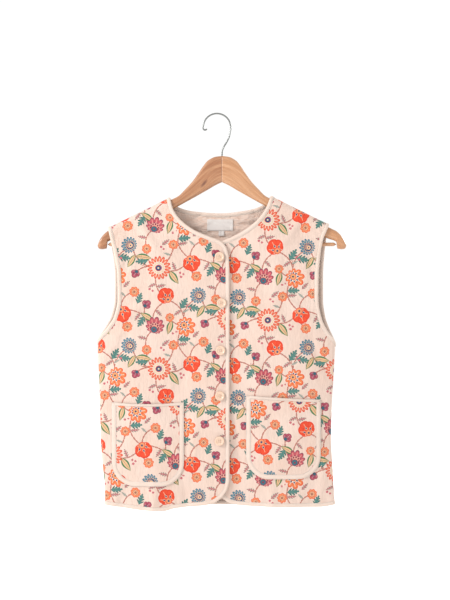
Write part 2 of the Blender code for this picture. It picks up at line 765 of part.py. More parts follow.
def add_hanger(materials, collection):
    """Two bowed arms that meet at the middle, and the bar between their turned-down ends."""
    for name, side in (("left", -1.0), ("right", 1.0)):
        rings = np.array([arm_ring(reach, side) for reach in ARM_STATIONS])
        ring_run("hanger_arm_" + name, rings, False, materials["wood_" + name], collection)
    bpy.ops.mesh.primitive_cylinder_add(vertices=14, radius=BAR_DIAMETER / 2 * MM,
                                        depth=2 * BAR_REACH * MM)
    bar = bpy.context.active_object
    bar.name = "trouser_bar"
    bar.data.name = "trouser_bar"
    bar.matrix_world = (Matrix.Translation((HANGER_X * MM, hanger_y(HANGER_X + BAR_REACH) * MM,
                                            BAR_Z * MM)) @ Matrix.Rotation(math.pi / 2, 4, "Y"))
    bar.data.materials.append(materials["wood_right"])
    for owner in bar.users_collection:
        owner.objects.unlink(bar)
    collection.objects.link(bar)


def hook_points():
    """The wire's run: up from the crown, a lazy S out to the right, round the eye, a curled end."""
    stem = (
        (HANGER_X, -74.1),
        (HANGER_X + 0.2, -67.0),
        (HANGER_X + 3.2, -58.5),
        (HANGER_X + 8.4, -50.0),
        (HANGER_X + 12.8, -40.0),
    )
    low = -HOOK_RADIUS + WIRE / 2
    turn = np.radians(np.linspace(-15.0, 184.0, 22))
    eye = np.stack([HOOK_RADIUS * np.cos(turn), low + HOOK_RADIUS * np.sin(turn)], axis=-1)
    curl_radius = 3.2
    curl_turn = np.radians(np.linspace(200.0, 350.0, 6))
    curl = np.stack([eye[-1, 0] + curl_radius + curl_radius * np.cos(curl_turn),
                     eye[-1, 1] + curl_radius * np.sin(curl_turn)], axis=-1)
    knots = np.concatenate([np.array(stem), eye, curl])
    along = np.concatenate([[0.0], np.cumsum(np.linalg.norm(np.diff(knots, axis=0), axis=1))])
    table = np.column_stack([along, knots])
    at = np.concatenate([np.linspace(0.0, along[5], 12)[:-1], along[5:]])
    return np.stack([read_table(table, 1, at), read_table(table, 2, at)], axis=-1)


def add_hook(materials, collection):
    """The wire hook, a bent round wire."""
    run = hook_points()
    curve = bpy.data.curves.new("hook", "CURVE")
    curve.dimensions = "3D"
    curve.bevel_depth = WIRE / 2 * MM
    curve.bevel_resolution = 2
    curve.use_fill_caps = True
    spline = curve.splines.new("POLY")
    spline.points.add(len(run) - 1)
    for point, (x, z) in zip(spline.points, run):
        point.co = (x * MM, 0.0, z * MM, 1.0)
    curve.materials.append(materials["wire"])
    collection.objects.link(bpy.data.objects.new("hook", curve))


def build():
    for old in list(bpy.data.objects):
        bpy.data.objects.remove(old, do_unlink=True)
    collection = bpy.data.collections.new("waistcoat_on_hanger")
    bpy.context.scene.collection.children.link(collection)
    materials = {
        "print": make_material("printed_cotton", 0.93, 0.66, 0.54, 0.85),
        "lining": make_material("cotton_gauze_lining", 0.75, 0.55, 0.42, 0.9),
        "binding": make_material("cream_bias_binding", 0.93, 0.83, 0.72, 0.85),
        "label": make_material("woven_label", 0.9, 0.85, 0.8, 0.7),
        "button": make_material("peach_button", 0.87, 0.6, 0.43, 0.35),
        "wood_left": make_material("lacquered_wood_dark", 0.6, 0.3, 0.16, 0.35),
        "wood_right": make_material("lacquered_wood_light", 0.75, 0.42, 0.24, 0.35),
        "wire": make_material("steel_wire", 0.5, 0.5, 0.48, 0.3, 1.0),
    }
    over, under = add_fronts(materials, collection)
    back = add_back(materials, collection)
    add_bindings(over, under, back, materials, collection)
    for side, face, left, right, top_left, top_right, sag, bottom in POCKETS:
        add_pocket(side, face, left, right, top_left, top_right, sag, bottom,
                   materials, collection)
    add_labels(materials, collection)
    add_buttons(materials, collection)
    add_hanger(materials, collection)
    add_hook(materials, collection)


build()
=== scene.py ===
import math

import bpy
import numpy as np
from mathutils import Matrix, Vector


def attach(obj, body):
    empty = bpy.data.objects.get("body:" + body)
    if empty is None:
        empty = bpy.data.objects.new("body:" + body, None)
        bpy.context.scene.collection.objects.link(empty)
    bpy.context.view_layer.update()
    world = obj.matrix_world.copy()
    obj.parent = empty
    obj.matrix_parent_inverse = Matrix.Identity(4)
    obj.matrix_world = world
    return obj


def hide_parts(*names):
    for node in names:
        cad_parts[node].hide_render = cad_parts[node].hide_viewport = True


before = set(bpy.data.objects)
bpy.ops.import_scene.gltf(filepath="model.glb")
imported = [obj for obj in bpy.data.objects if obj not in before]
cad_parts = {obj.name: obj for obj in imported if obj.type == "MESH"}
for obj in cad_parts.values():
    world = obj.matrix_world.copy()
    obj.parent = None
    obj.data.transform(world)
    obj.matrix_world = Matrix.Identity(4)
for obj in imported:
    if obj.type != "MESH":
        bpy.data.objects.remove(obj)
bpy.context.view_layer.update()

# Sizes are in millimetres and turned to metres where a mesh is made. Left and right are
# the viewer's, who looks along +Y. Cloth is laid out in x and z and lifted onto the form.
MM = 0.001
SEAM_GAP = 0.06

# Cloth
WALL = 1.8
BACK_CLOTH = 0.86
LINING = 0.86
BINDING_WIDTH = 5.2
BINDING_EASE = 28.0
POCKET_LIFT = 1.0
POCKET_CLOTH = 1.2
POCKET_BULGE = 1.6
BAND_LIFT = 2.3
LABEL_LIFT = 1.45
LABEL_CLOTH = 0.8
LABEL_TURNING = 1.4
CREASE_RISE = 1.7
CREASE_BEND = 0.12
# Slow uneven swell of all cloth: its height, then its waves across, their bend, and those up
SWELL = 0.35
SWELL_ACROSS = 17.0
SWELL_BEND = 1.9
SWELL_BEND_UP = 41.0
SWELL_UP = 29.0
SWELL_SLANT = 53.0
# Puckers beside the strips: height, reach past the strip, wave along it, its wander, a slower wave
PUCKER = 0.5
PUCKER_START = 3.0
PUCKER_SPREAD = 8.0
PUCKER_WAVE = 2.4
PUCKER_WANDER = 1.6
PUCKER_WANDER_WAVE = 17.0
PUCKER_SLOW = 0.7
PUCKER_SLOW_WAVE = 4.3
# Puckers of the strips: height, first wave and its wander, then size, wave and start of others
RIPPLE = 0.085
RIPPLE_WAVE = 1.9
RIPPLE_WANDER = 1.3
RIPPLE_WANDER_WAVE = 23.0
RIPPLE_OTHERS = ((0.7, 3.1, 2.0), (0.6, 7.3, 0.0))
LINING_SINK = 0.5
CLOTH_STEP = 0.0125
BACK_STEP = 0.62 * CLOTH_STEP
ROW_STEP = 0.0056
# Points worked through at one time where each meets all of another set
BATCH = 4000

# The hanger
HANGER_X = 9.0
ARM_THICKNESS = 12.0
ARM_BOW = 10.0
ARM_REACH = 222.0
ARM_TIP = 9.0
ARM_SEAT = 4.1
ARM_STEPS = 150
ARM_TIP_STEPS = 24
ARM_SIDES = 40
# The glued faces of the arms are eased: distances from the middle, share taken off the thickness
ARM_JOIN = (0.1, 0.5)
ARM_JOIN_END = 1.2
ARM_EASED = 0.8
ARM_EASING = 0.12
# Where the rings of an arm's round tip start and end, in radians of its quarter turn
TIP_START = 0.06
TIP_END = 1.52
BAR_DIAMETER = 6.7
BAR_Z = -233.6
BAR_REACH = 204.4
BAR_ROUNDING = 1.0
BAR_STEPS = 90
BAR_SIDES = 32
WIRE = 3.0
HOOK_RADIUS = 24.7
CURL_RADIUS = 3.2
WIRE_END = 1.5
WIRE_STEPS = 200
WIRE_SIDES = 24
EYE_STEPS = 40
CURL_STEPS = 9
# The wire's round end, in radians of its quarter turn, and its rings
END_START = 0.1
END_STOP = 1.5
END_RINGS = 8
# The hook's stem up from the crown: distance from the hanger's middle, z
HOOK_STEM = (
    (0.0, -76.5),
    (0.2, -67.0),
    (3.2, -58.5),
    (8.4, -50.0),
    (12.8, -40.0),
)
# Where the wire's two arcs start and end, in degrees from the viewer's right
EYE_START = -15.0
EYE_END = 184.0
CURL_START = 200.0
CURL_END = 350.0

# Where the shoulder seams lie: over the arms, on one slope each side
SHOULDER_REL = 88.7
SHOULDER_Z = -148.0
SHOULDER_SLOPE = 0.497
SHOULDER_COS = 1.0 / math.hypot(1.0, SHOULDER_SLOPE)

# How the cloth stands off its middle sheet
CREST_RADIUS = 10.0
SHOULDER_HALF = 9.2
SHOULDER_SPREAD = 70.0
SIDE_FOLD = 5.0
SIDE_SPREAD = 100.0
UNDERARM_Z = -410.0
UNDERARM_SPREAD = 60.0
LAP = 2.4
LAP_SPREAD = 45.0
OVER_LAP_START = -62.0
UNDER_LAP_END = 80.0
BOW_TOP = -215.0
BOW_BOTTOM = -700.0
BOW_AT_HEM = 0.35

# Half depth of the hanging garment at each height: z, front, back
DEPTHS = (
    (-705.0, 13.5, 11.0),
    (-620.0, 15.0, 12.0),
    (-520.0, 17.0, 13.0),
    (-420.0, 19.0, 14.0),
    (-330.0, 21.0, 15.0),
    (-235.0, 20.0, 13.5),
    (-150.0, 12.0, 11.0),
)

# Furthest the garment reaches at each height, carried on above the underarm: z, left x, right x
SIDES = (
    (-710.0, -199.3, 210.2),
    (-694.0, -199.5, 209.9),
    (-657.0, -200.9, 207.6),
    (-626.0, -204.2, 206.0),
    (-580.0, -207.2, 203.6),
    (-518.0, -208.6, 205.2),
    (-462.0, -210.3, 208.3),
    (-425.0, -211.9, 210.2),
    (-408.0, -211.7, 210.8),
    (-300.0, -212.0, 213.0),
    (-150.0, -214.0, 216.0),
)

# Soft vertical folds: face, x, half width, height outwards, z where deepest, z where it has died out
FOLDS = (
    ("over", -108.0, 24.0, 3.6, -705.0, -560.0),
    ("over", -168.0, 15.0, -2.4, -700.0, -600.0),
    ("under", 118.0, 26.0, 2.6, -700.0, -580.0),
    ("under", 170.0, 18.0, -2.0, -690.0, -600.0),
    ("over", -128.0, 26.0, -1.8, -330.0, -480.0),
    ("under", 138.0, 26.0, -1.8, -330.0, -480.0),
    ("back", -118.0, 26.0, 3.6, -700.0, -380.0),
    ("back", -34.0, 30.0, -2.6, -700.0, -330.0),
    ("back", 48.0, 28.0, 3.2, -700.0, -400.0),
    ("back", 132.0, 26.0, -2.4, -700.0, -360.0),
)

# Edges of the pieces: share of the way up, x, z. An outer edge runs up the side seam to the
# underarm, where SIDES gives its x, and then round the armhole.
UNDERARM_SHARE = 0.55
OVER_INNER = (
    (0.000, 7.4, -683.8),
    (0.035, 17.2, -669.2),
    (0.070, 20.6, -652.0),
    (0.300, 20.6, -535.0),
    (0.550, 20.6, -408.0),
    (0.740, 20.6, -285.0),
    (0.780, 19.4, -258.0),
    (0.805, 15.0, -240.0),
    (0.825, 5.0, -229.5),
    (0.850, -12.6, -222.5),
    (0.890, -41.0, -210.2),
    (0.930, -66.4, -191.1),
    (0.965, -80.0, -171.3),
    (1.000, -85.5, -150.9),
)
UNDER_INNER = (
    (0.000, 8.7, -683.8),
    (0.035, -1.1, -669.2),
    (0.070, -4.5, -652.0),
    (0.300, -4.5, -535.0),
    (0.550, -4.5, -408.0),
    (0.740, -4.5, -285.0),
    (0.780, -3.3, -256.0),
    (0.805, 0.5, -240.5),
    (0.825, 9.5, -230.3),
    (0.850, 26.9, -222.6),
    (0.890, 52.5, -208.5),
    (0.930, 76.0, -188.6),
    (0.965, 90.0, -167.7),
    (1.000, 97.7, -148.0),
)
LEFT_OUTER_FRONT = (
    (0.000, -199.5, -697.3),
    (0.550, -211.5, -408.0),
    (0.600, -193.2, -382.3),
    (0.640, -181.6, -364.0),
    (0.700, -174.6, -332.0),
    (0.790, -175.2, -290.0),
    (0.880, -180.8, -253.8),
    (0.950, -187.4, -226.0),
    (1.000, -192.8, -204.2),
)
LEFT_OUTER_BACK = (
    (0.000, -199.5, -697.3),
    (0.550, -211.5, -408.0),
    (0.600, -197.0, -380.5),
    (0.640, -188.0, -362.0),
    (0.700, -182.0, -332.0),
    (0.790, -181.5, -290.0),
    (0.880, -184.5, -253.8),
    (0.950, -189.0, -226.0),
    (1.000, -192.8, -204.2),
)
RIGHT_OUTER_FRONT = (
    (0.000, 209.9, -697.3),
    (0.550, 210.6, -412.0),
    (0.600, 195.0, -388.0),
    (0.640, 184.5, -366.0),
    (0.700, 178.4, -332.0),
    (0.790, 178.8, -290.0),
    (0.880, 182.1, -253.8),
    (0.950, 187.4, -226.0),
    (1.000, 198.8, -198.2),
)
RIGHT_OUTER_BACK = (
    (0.000, 209.9, -697.3),
    (0.550, 210.6, -412.0),
    (0.600, 200.5, -386.0),
    (0.640, 193.0, -364.0),
    (0.700, 189.0, -332.0),
    (0.790, 189.0, -290.0),
    (0.880, 191.0, -253.8),
    (0.950, 194.0, -226.0),
    (1.000, 198.8, -198.2),
)
# Hems and the back neck: share of the way across, x, z
OVER_HEM = (
    (0.00, 7.4, -683.8),
    (0.07, -7.2, -693.6),
    (0.15, -26.0, -697.2),
    (0.40, -76.0, -702.5),
    (0.50, -96.0, -707.2),
    (0.62, -122.2, -706.7),
    (0.77, -153.0, -703.4),
    (1.00, -199.5, -697.3),
)
UNDER_HEM = (
    (0.00, 8.7, -683.8),
    (0.07, 23.3, -693.6),
    (0.15, 40.5, -697.2),
    (0.28, 66.0, -698.8),
    (0.55, 124.9, -700.6),
    (0.82, 182.0, -700.6),
    (1.00, 209.9, -697.3),
)
BACK_HEM = (
    (0.00, -199.5, -697.3),
    (0.15, -140.0, -700.0),
    (0.35, -60.0, -699.0),
    (0.65, 70.0, -700.0),
    (0.85, 150.0, -699.0),
    (1.00, 209.9, -697.3),
)
BACK_NECK_START = 0.27
BACK_NECK_END = 0.74
BACK_NECK = (
    (0.27, -85.5, -150.9),
    (0.31, -74.0, -165.5),
    (0.38, -46.0, -174.5),
    (0.50, 6.0, -178.5),
    (0.62, 56.0, -173.0),
    (0.70, 87.0, -162.0),
    (0.74, 97.7, -148.0),
)

# Columns and rows of the cloth, closest together where it folds over
FRONT_COLUMNS = (0.0, 0.045, 0.12, 0.21, 0.32, 0.44, 0.56, 0.67, 0.77, 0.85, 0.91, 0.95,
                 0.974, 0.986, 0.9945, 0.9985, 1.0)
BACK_COLUMNS = (0.0, 0.0008, 0.003, 0.0065, 0.012, 0.03, 0.07, 0.13, 0.2, 0.27,
                0.272, 0.2765, 0.2855, 0.31, 0.355, 0.42, 0.485, 0.55, 0.61, 0.665, 0.705,
                0.7245, 0.7335, 0.738, 0.74, 0.81, 0.875, 0.93, 0.97, 0.988, 0.9935, 0.997,
                0.9992, 1.0)
CLOTH_ROWS = (0.0, 0.03, 0.075, 0.14, 0.22, 0.31, 0.41, 0.49, 0.53, 0.55, 0.552, 0.557,
              0.566, 0.577, 0.6, 0.66, 0.735, 0.8, 0.825, 0.85, 0.89, 0.93, 0.965, 0.982,
              0.9905, 0.9962, 0.999, 1.0)
LINING_START = 0.53

# Patch pockets: name, left x, right x, top z at the left, at the right, sag of the top, bottom z
POCKETS = (
    ("left", "over", -187.1, -58.8, -514.9, -514.9, 3.0, -664.7),
    ("right", "under", 52.4, 184.8, -502.7, -510.4, 1.0, -652.1),
)
POCKET_CORNER = 42.0
POCKET_COLUMNS = 61
POCKET_ROUND_ROWS = 24
POCKET_STRAIGHT_ROWS = 46
POCKET_OPENING = 1.6
# Crumple of the pocket's cloth: height, wave across, its bend and the bend's wave up
POCKET_CRUMPLE = 0.5
POCKET_WAVE = 9.0
POCKET_BEND = 1.7
POCKET_BEND_WAVE = 17.0

# Buttons from the top: x, z
BUTTONS = (
    (4.5, -256.4),
    (8.4, -338.2),
    (6.5, -422.5),
    (5.4, -503.2),
    (4.8, -583.6),
)

# Woven label and its tab: left x, right x, bottom z, top z
LABEL = (-17.8, 29.2, -208.0, -187.6)
TAB = (2.9, 13.1, -217.4, -208.4)
LABEL_COLUMNS = 49
LABEL_ROWS = 25
# The label's turned-under ends: how thick and long, how softly they end, and the dip at their seam
TURNED_RISE = 0.25
TURNED_LENGTH = 4.0
TURNED_EASE = 1.2
SEAM_DIP = 0.12
SEAM_PLACE = 1.6
SEAM_HALF = 0.5
# The label's slight wave: height, length, its bend and the bend's length
LABEL_WAVE = 0.12
LABEL_WAVE_LENGTH = 5.3
LABEL_BEND = 0.4
LABEL_BEND_LENGTH = 3.0

# Upper and lower outline of an arm: distance from the middle, z
ARM_TOP = (
    (0.0, -74.5),
    (12.0, -76.0),
    (25.0, -82.5),
    (34.0, -93.0),
    (42.0, -105.0),
    (54.0, -121.5),
    (66.0, -134.5),
    (78.0, -146.4),
    (SHOULDER_REL, SHOULDER_Z - ARM_SEAT),
    (140.0, SHOULDER_Z - ARM_SEAT - SHOULDER_SLOPE * (140.0 - SHOULDER_REL)),
    (199.5, SHOULDER_Z - ARM_SEAT - SHOULDER_SLOPE * (199.5 - SHOULDER_REL)),
    (203.0, SHOULDER_Z - ARM_SEAT - SHOULDER_SLOPE * (203.0 - SHOULDER_REL)),
    (212.0, -216.5),
    (219.0, -227.0),
    (ARM_REACH, -235.0),
)
ARM_BOTTOM = (
    (0.0, -122.0),
    (10.0, -126.5),
    (28.0, -137.0),
    (60.0, -155.0),
    (84.0, -168.0),
    (120.0, -187.5),
    (160.0, -208.5),
    (190.0, -223.5),
    (204.8, -229.6),
    (205.9, -241.0),
    (215.0, -242.5),
    (220.0, -241.0),
    (ARM_REACH, -237.0),
)

# Creases: face, x, z, turn in degrees, half length, half width, height
CREASES = (
    ("over", -128.0, -212.0, -62.0, 42.0, 8.0, 1.5),
    ("over", -160.0, -262.0, 82.0, 40.0, 6.0, -1.3),
    ("over", -146.0, -352.0, 38.0, 40.0, 8.0, 1.5),
    ("over", -178.0, -428.0, 58.0, 46.0, 8.0, -1.7),
    ("over", -104.0, -302.0, 96.0, 74.0, 12.0, 1.1),
    ("over", -34.0, -300.0, 22.0, 34.0, 6.0, 0.8),
    ("over", -26.0, -350.0, -12.0, 32.0, 5.0, -0.8),
    ("over", -34.0, -428.0, 14.0, 34.0, 6.0, 0.9),
    ("over", -60.0, -470.0, 70.0, 48.0, 11.0, -1.2),
    ("over", -40.0, -590.0, 84.0, 70.0, 9.0, 1.3),
    ("over", -112.0, -688.0, 86.0, 26.0, 9.0, 1.9),
    ("over", -54.0, -684.0, 98.0, 30.0, 8.0, -1.4),
    ("over", -176.0, -676.0, 78.0, 34.0, 8.0, 1.2),
    ("over", -72.0, -236.0, 40.0, 26.0, 6.0, 0.9),
    ("under", 138.0, -206.0, 60.0, 44.0, 8.0, 1.4),
    ("under", 166.0, -268.0, 98.0, 42.0, 7.0, -1.4),
    ("under", 150.0, -356.0, -40.0, 42.0, 8.0, 1.6),
    ("under", 178.0, -430.0, -62.0, 44.0, 9.0, -1.6),
    ("under", 104.0, -318.0, 84.0, 78.0, 12.0, 1.2),
    ("under", 46.0, -302.0, -18.0, 30.0, 6.0, 0.8),
    ("under", 44.0, -378.0, 10.0, 34.0, 5.0, -0.8),
    ("under", 40.0, -462.0, -16.0, 34.0, 7.0, 0.9),
    ("under", 72.0, -468.0, 102.0, 46.0, 10.0, 1.1),
    ("under", 38.0, -604.0, 96.0, 66.0, 8.0, -1.2),
    ("under", 98.0, -682.0, 94.0, 28.0, 9.0, 1.5),
    ("under", 190.0, -640.0, 84.0, 60.0, 8.0, 1.3),
    ("back", -140.0, -236.0, 58.0, 52.0, 9.0, 1.7),
    ("back", 146.0, -232.0, -56.0, 54.0, 9.0, 1.6),
    ("back", -60.0, -262.0, 14.0, 60.0, 9.0, -1.2),
    ("back", 64.0, -276.0, -12.0, 56.0, 8.0, 1.3),
    ("back", 0.0, -226.0, 4.0, 46.0, 6.0, -1.0),
    ("back", -42.0, -187.0, 28.0, 26.0, 3.4, 1.2),
    ("back", -38.0, -200.0, 12.0, 28.0, 3.2, -1.1),
    ("back", -30.0, -211.0, -9.0, 26.0, 3.6, 1.1),
    ("back", 50.0, -186.0, -24.0, 24.0, 3.2, -1.1),
    ("back", 54.0, -197.0, 6.0, 26.0, 3.2, 1.2),
    ("back", 46.0, -208.0, -12.0, 28.0, 3.6, -1.0),
    ("back", 72.0, -178.0, -44.0, 20.0, 3.2, 1.0),
    ("back", 14.0, -221.0, 4.0, 32.0, 3.8, 1.0),
    ("back", -4.0, -230.0, -3.0, 34.0, 4.2, -1.0),
    ("back", -168.0, -404.0, -52.0, 46.0, 9.0, 1.8),
    ("back", 172.0, -410.0, 50.0, 48.0, 9.0, -1.6),
    ("back", -92.0, -420.0, 84.0, 110.0, 12.0, 1.4),
    ("back", 18.0, -470.0, 94.0, 120.0, 13.0, -1.5),
    ("back", 96.0, -440.0, 98.0, 90.0, 12.0, 1.3),
    ("back", -152.0, -600.0, 82.0, 76.0, 11.0, -1.5),
    ("back", 150.0, -610.0, 96.0, 80.0, 11.0, 1.6),
    ("back", -10.0, -660.0, 88.0, 40.0, 10.0, 1.5),
)
# Wrinkles of the gauze lining, drawn into it: x, z, turn in degrees, half length, half width, depth
LINING_CREASES = (
    (-52.0, -184.0, 34.0, 26.0, 2.6, 0.34),
    (-34.0, -192.0, 12.0, 22.0, 2.0, 0.3),
    (-24.0, -204.0, -6.0, 26.0, 2.4, 0.34),
    (4.0, -184.0, 3.0, 30.0, 1.8, 0.28),
    (42.0, -187.0, -14.0, 22.0, 2.2, 0.32),
    (50.0, -198.0, 8.0, 26.0, 2.4, 0.34),
    (66.0, -181.0, -38.0, 24.0, 2.6, 0.34),
    (38.0, -209.0, -4.0, 30.0, 2.2, 0.3),
    (6.0, -221.0, 5.0, 34.0, 2.6, 0.32),
    (-44.0, -214.0, 18.0, 24.0, 2.2, 0.3),
    (74.0, -194.0, -24.0, 20.0, 2.0, 0.28),
    (186.0, -300.0, 84.0, 40.0, 2.4, 0.3),
    (184.0, -352.0, 76.0, 30.0, 2.2, 0.3),
)

# How a folded binding is rounded: share of the strip's reach over the edge, height of its
# outside, from the inner edge with its row of stitches to the middle of its nose
BINDING_PROFILE = (
    (0.00, 1.15), (0.03, 1.52), (0.09, 1.58), (0.135, 1.28), (0.18, 1.58), (0.30, 1.95),
    (0.46, 2.20), (0.62, 2.22), (0.76, 2.02), (0.88, 1.62), (0.965, 0.95), (1.00, 0.32),
)
BINDING_REACH = 7.1
CAVITY_PROFILE = ((0.84, 0.6), (0.80, 1.03), (0.5, 1.05), (0.01, 1.05))
# A band laid on a pocket: share of its width, height over the cloth
BAND_PROFILE = (
    (0.00, 0.05), (0.02, 0.55), (0.075, 0.72), (0.115, 0.42), (0.16, 0.74), (0.30, 0.98),
    (0.50, 1.04), (0.70, 0.98), (0.84, 0.74), (0.885, 0.42), (0.925, 0.72), (0.98, 0.55),
    (1.00, 0.05),
)
BAND_SIDE = 8.4
BAND_TOP = 5.0
BAND_OVERHANG = 0.03
BAND_SINK = 0.2
BAND_UNDER = 0.15
BAND_UNDERSIDE = (0.97, 0.03)
BAND_EVENINGS = 12
CORNER_STEPS = 25
STRAIGHT_STEPS = 41

# Buttons: profile from the middle of the face to the rim and round to the back: radius, height
BUTTON_PROFILE = (
    (0.0, 0.75), (2.6, 0.78), (4.4, 0.8), (5.1, 0.86), (5.7, 1.2), (6.3, 1.48), (6.9, 1.5),
    (7.6, 1.42), (8.15, 1.1), (8.45, 0.5), (8.5, 0.0), (8.3, -0.7), (7.7, -1.3), (6.8, -1.5),
    (3.0, -1.5), (0.0, -1.5),
)
BUTTON_LIFT = 3.9
BUTTON_SIDES = 96
BUTTON_POLE = 0.05
BUTTON_TURN = 37.0
HOLE_EASE = 0.4
THREAD_STEPS = 15
THREAD_SIDES = 12
THREAD_LOW = 0.35
THREAD_RISE = 0.85
BUTTON_RINGS = 90
HOLE_PLACE = 1.55
HOLE_RADIUS = 0.95
HOLE_DEPTH = 1.3
THREAD_RADIUS = 0.42

# The print: a half-drop repeat, the next column half a repeat higher. Its chart is drawn on
# a repeat of 158 by 230 and printed smaller, flowers and leaves at the sizes that they state.
CHART_SCALE = 0.78
COLUMN_STEP = 158.0 * CHART_SCALE
REPEAT = 230.0 * CHART_SCALE
DROP = REPEAT / 2
# Offsets of the pieces cut from it: piece, across, up
CUTS = {
    "over": (12.0, 38.0),
    "under": (64.0, 131.0),
    "back": (31.0, 77.0),
    "left": (97.0, 12.0),
    "right": (8.0, 96.0),
}
# Kinds of flower: petals, notch between petals, lean, then the colours of petal, rim, vein,
# inner petals, heart and dots
FLOWER_KINDS = {
    "poppy": (7, 0.10, 0.88, "#FB4F2B", "#EE3F20", "#FDC3A0", "#FA5730", "#F9A070", "#1E4F78"),
    "aster": (17, 0.32, 0.12, "#F57F5C", "#E8543C", "#FBE9DA", "#2A86B8", "#1A4A74", "#F4D9B8"),
    "dahlia": (13, 0.28, 0.70, "#D65E68", "#96405A", "#F2AE9E", "#FAA878", "#2A6F80", "#8E3348"),
    "blossom": (9, 0.34, 0.42, "#FA8A50", "#F0603C", "#FDE9DA", "#FB9D62", "#F9AF74", "#173F68"),
    "cornflower": (15, 0.36, 0.35, "#5C93A4", "#2F6C88", "#F1B896", "#F58A5C", "#FBC79C",
                   "#1C4E74"),
    "round": (8, 0.22, 0.0, "#FA8858", "#EE6440", "#FBC49A", "#FBBB8C", "#B08066", "#5E5C60"),
    "bud": (5, 0.26, 0.80, "#BE4F66", "#8A3850", "#E9A7A4", "#A8445E", "#22687A", "#1F5B78"),
    "berry": (1, 0.0, 0.0, "#DB6672", "#B5546A", "#E8A7A4", "#E08A8C", "#C85F70", "#9E4A5C"),
}
# Flowers of one repeat: kind, across, up, turn in degrees, radius
FLOWERS = (
    ("aster", 40.0, 40.0, 20.0, 23.0),
    ("poppy", 112.0, 62.0, -70.0, 24.5),
    ("dahlia", 30.0, 130.0, 75.0, 24.0),
    ("blossom", 98.0, 140.0, -35.0, 22.5),
    ("poppy", 62.0, 198.0, 120.0, 23.5),
    ("cornflower", 134.0, 207.0, 160.0, 18.0),
    ("round", 127.0, 22.0, 10.0, 9.8),
    ("round", 74.0, 94.0, 40.0, 9.4),
    ("round", 66.0, 157.0, 0.0, 8.4),
    ("round", 143.0, 102.0, 25.0, 9.6),
    ("round", 13.0, 84.0, 60.0, 9.2),
    ("bud", 9.0, 184.0, 40.0, 13.0),
    ("bud", 148.0, 148.0, -120.0, 12.5),
    ("berry", 92.0, 20.0, 0.0, 2.3),
    ("berry", 97.0, 26.0, 0.0, 2.1),
    ("berry", 90.0, 29.0, 0.0, 2.2),
    ("berry", 20.0, 222.0, 0.0, 2.3),
    ("berry", 27.0, 218.0, 0.0, 2.1),
    ("berry", 112.0, 179.0, 0.0, 2.2),
    ("berry", 106.0, 185.0, 0.0, 2.1),
    ("berry", 73.0, 121.0, 0.0, 2.2),
    ("berry", 81.0, 124.0, 0.0, 2.1),
    ("berry", 46.0, 88.0, 0.0, 2.2),
    ("berry", 52.0, 83.0, 0.0, 2.0),
)
# Stems of one repeat: across and up of both ends, bow to the left
STEMS = (
    (40.0, 40.0, 112.0, 62.0, -17.0),
    (112.0, 62.0, 98.0, 140.0, 20.0),
    (98.0, 140.0, 62.0, 197.0, -13.0),
    (62.0, 197.0, 40.0, 270.0, 16.0),
    (30.0, 130.0, 62.0, 197.0, 16.0),
    (112.0, 62.0, 188.0, 15.0, 15.0),
    (98.0, 140.0, 137.0, 206.0, 15.0),
    (137.0, 206.0, 198.0, 155.0, -15.0),
    (13.0, 84.0, 30.0, 130.0, 9.0),
    (40.0, 40.0, 13.0, 84.0, 10.0),
    (141.0, 102.0, 112.0, 62.0, -9.0),
    (127.0, 22.0, 112.0, 62.0, 7.0),
    (74.0, 94.0, 40.0, 40.0, 9.0),
    (9.0, 184.0, 30.0, 130.0, -9.0),
    (148.0, 148.0, 198.0, 155.0, 7.0),
    (64.0, 158.0, 98.0, 140.0, -6.0),
)
STEM_STEPS = 22
STEM_POINT_REACH = 2.6
# Stand for a place outside any motif, in millimetres and in shares of its size
NOWHERE = 99.0
NO_MOTIF = 9.0
# Kinds of leaf: half width as a share of the length, notches, their depth, fill, line
LEAF_KINDS = {
    "leaf": (0.225, 0.0, 0.0, "#F8C498", "#4A8253"),
    "fern": (0.32, 4.0, 0.74, "#5C9088", "#2E6E66"),
    "sprig": (0.24, 4.0, 0.88, "#D2767C", "#8A8C80"),
    "wisp": (0.17, 5.0, 0.80, "#A9B0A6", "#8E968C"),
}
# Leaves tried along each stem in turn: share along it, turn from it in degrees, length, kind
LEAF_PATTERN = (
    (0.30, 50.0, 28.4, "leaf"),
    (0.42, -54.0, 29.8, "leaf"),
    (0.52, 66.0, 24.0, "fern"),
    (0.60, -46.0, 27.0, "leaf"),
    (0.68, 52.0, 29.8, "leaf"),
    (0.46, -96.0, 16.8, "sprig"),
    (0.55, 104.0, 15.6, "sprig"),
    (0.74, -58.0, 25.6, "leaf"),
    (0.36, 84.0, 14.4, "wisp"),
    (0.64, -82.0, 22.8, "fern"),
    (0.24, -60.0, 25.6, "leaf"),
    (0.80, 70.0, 16.8, "sprig"),
)
LEAVES_A_STEM = 6
LEAF_ROTATION = 5
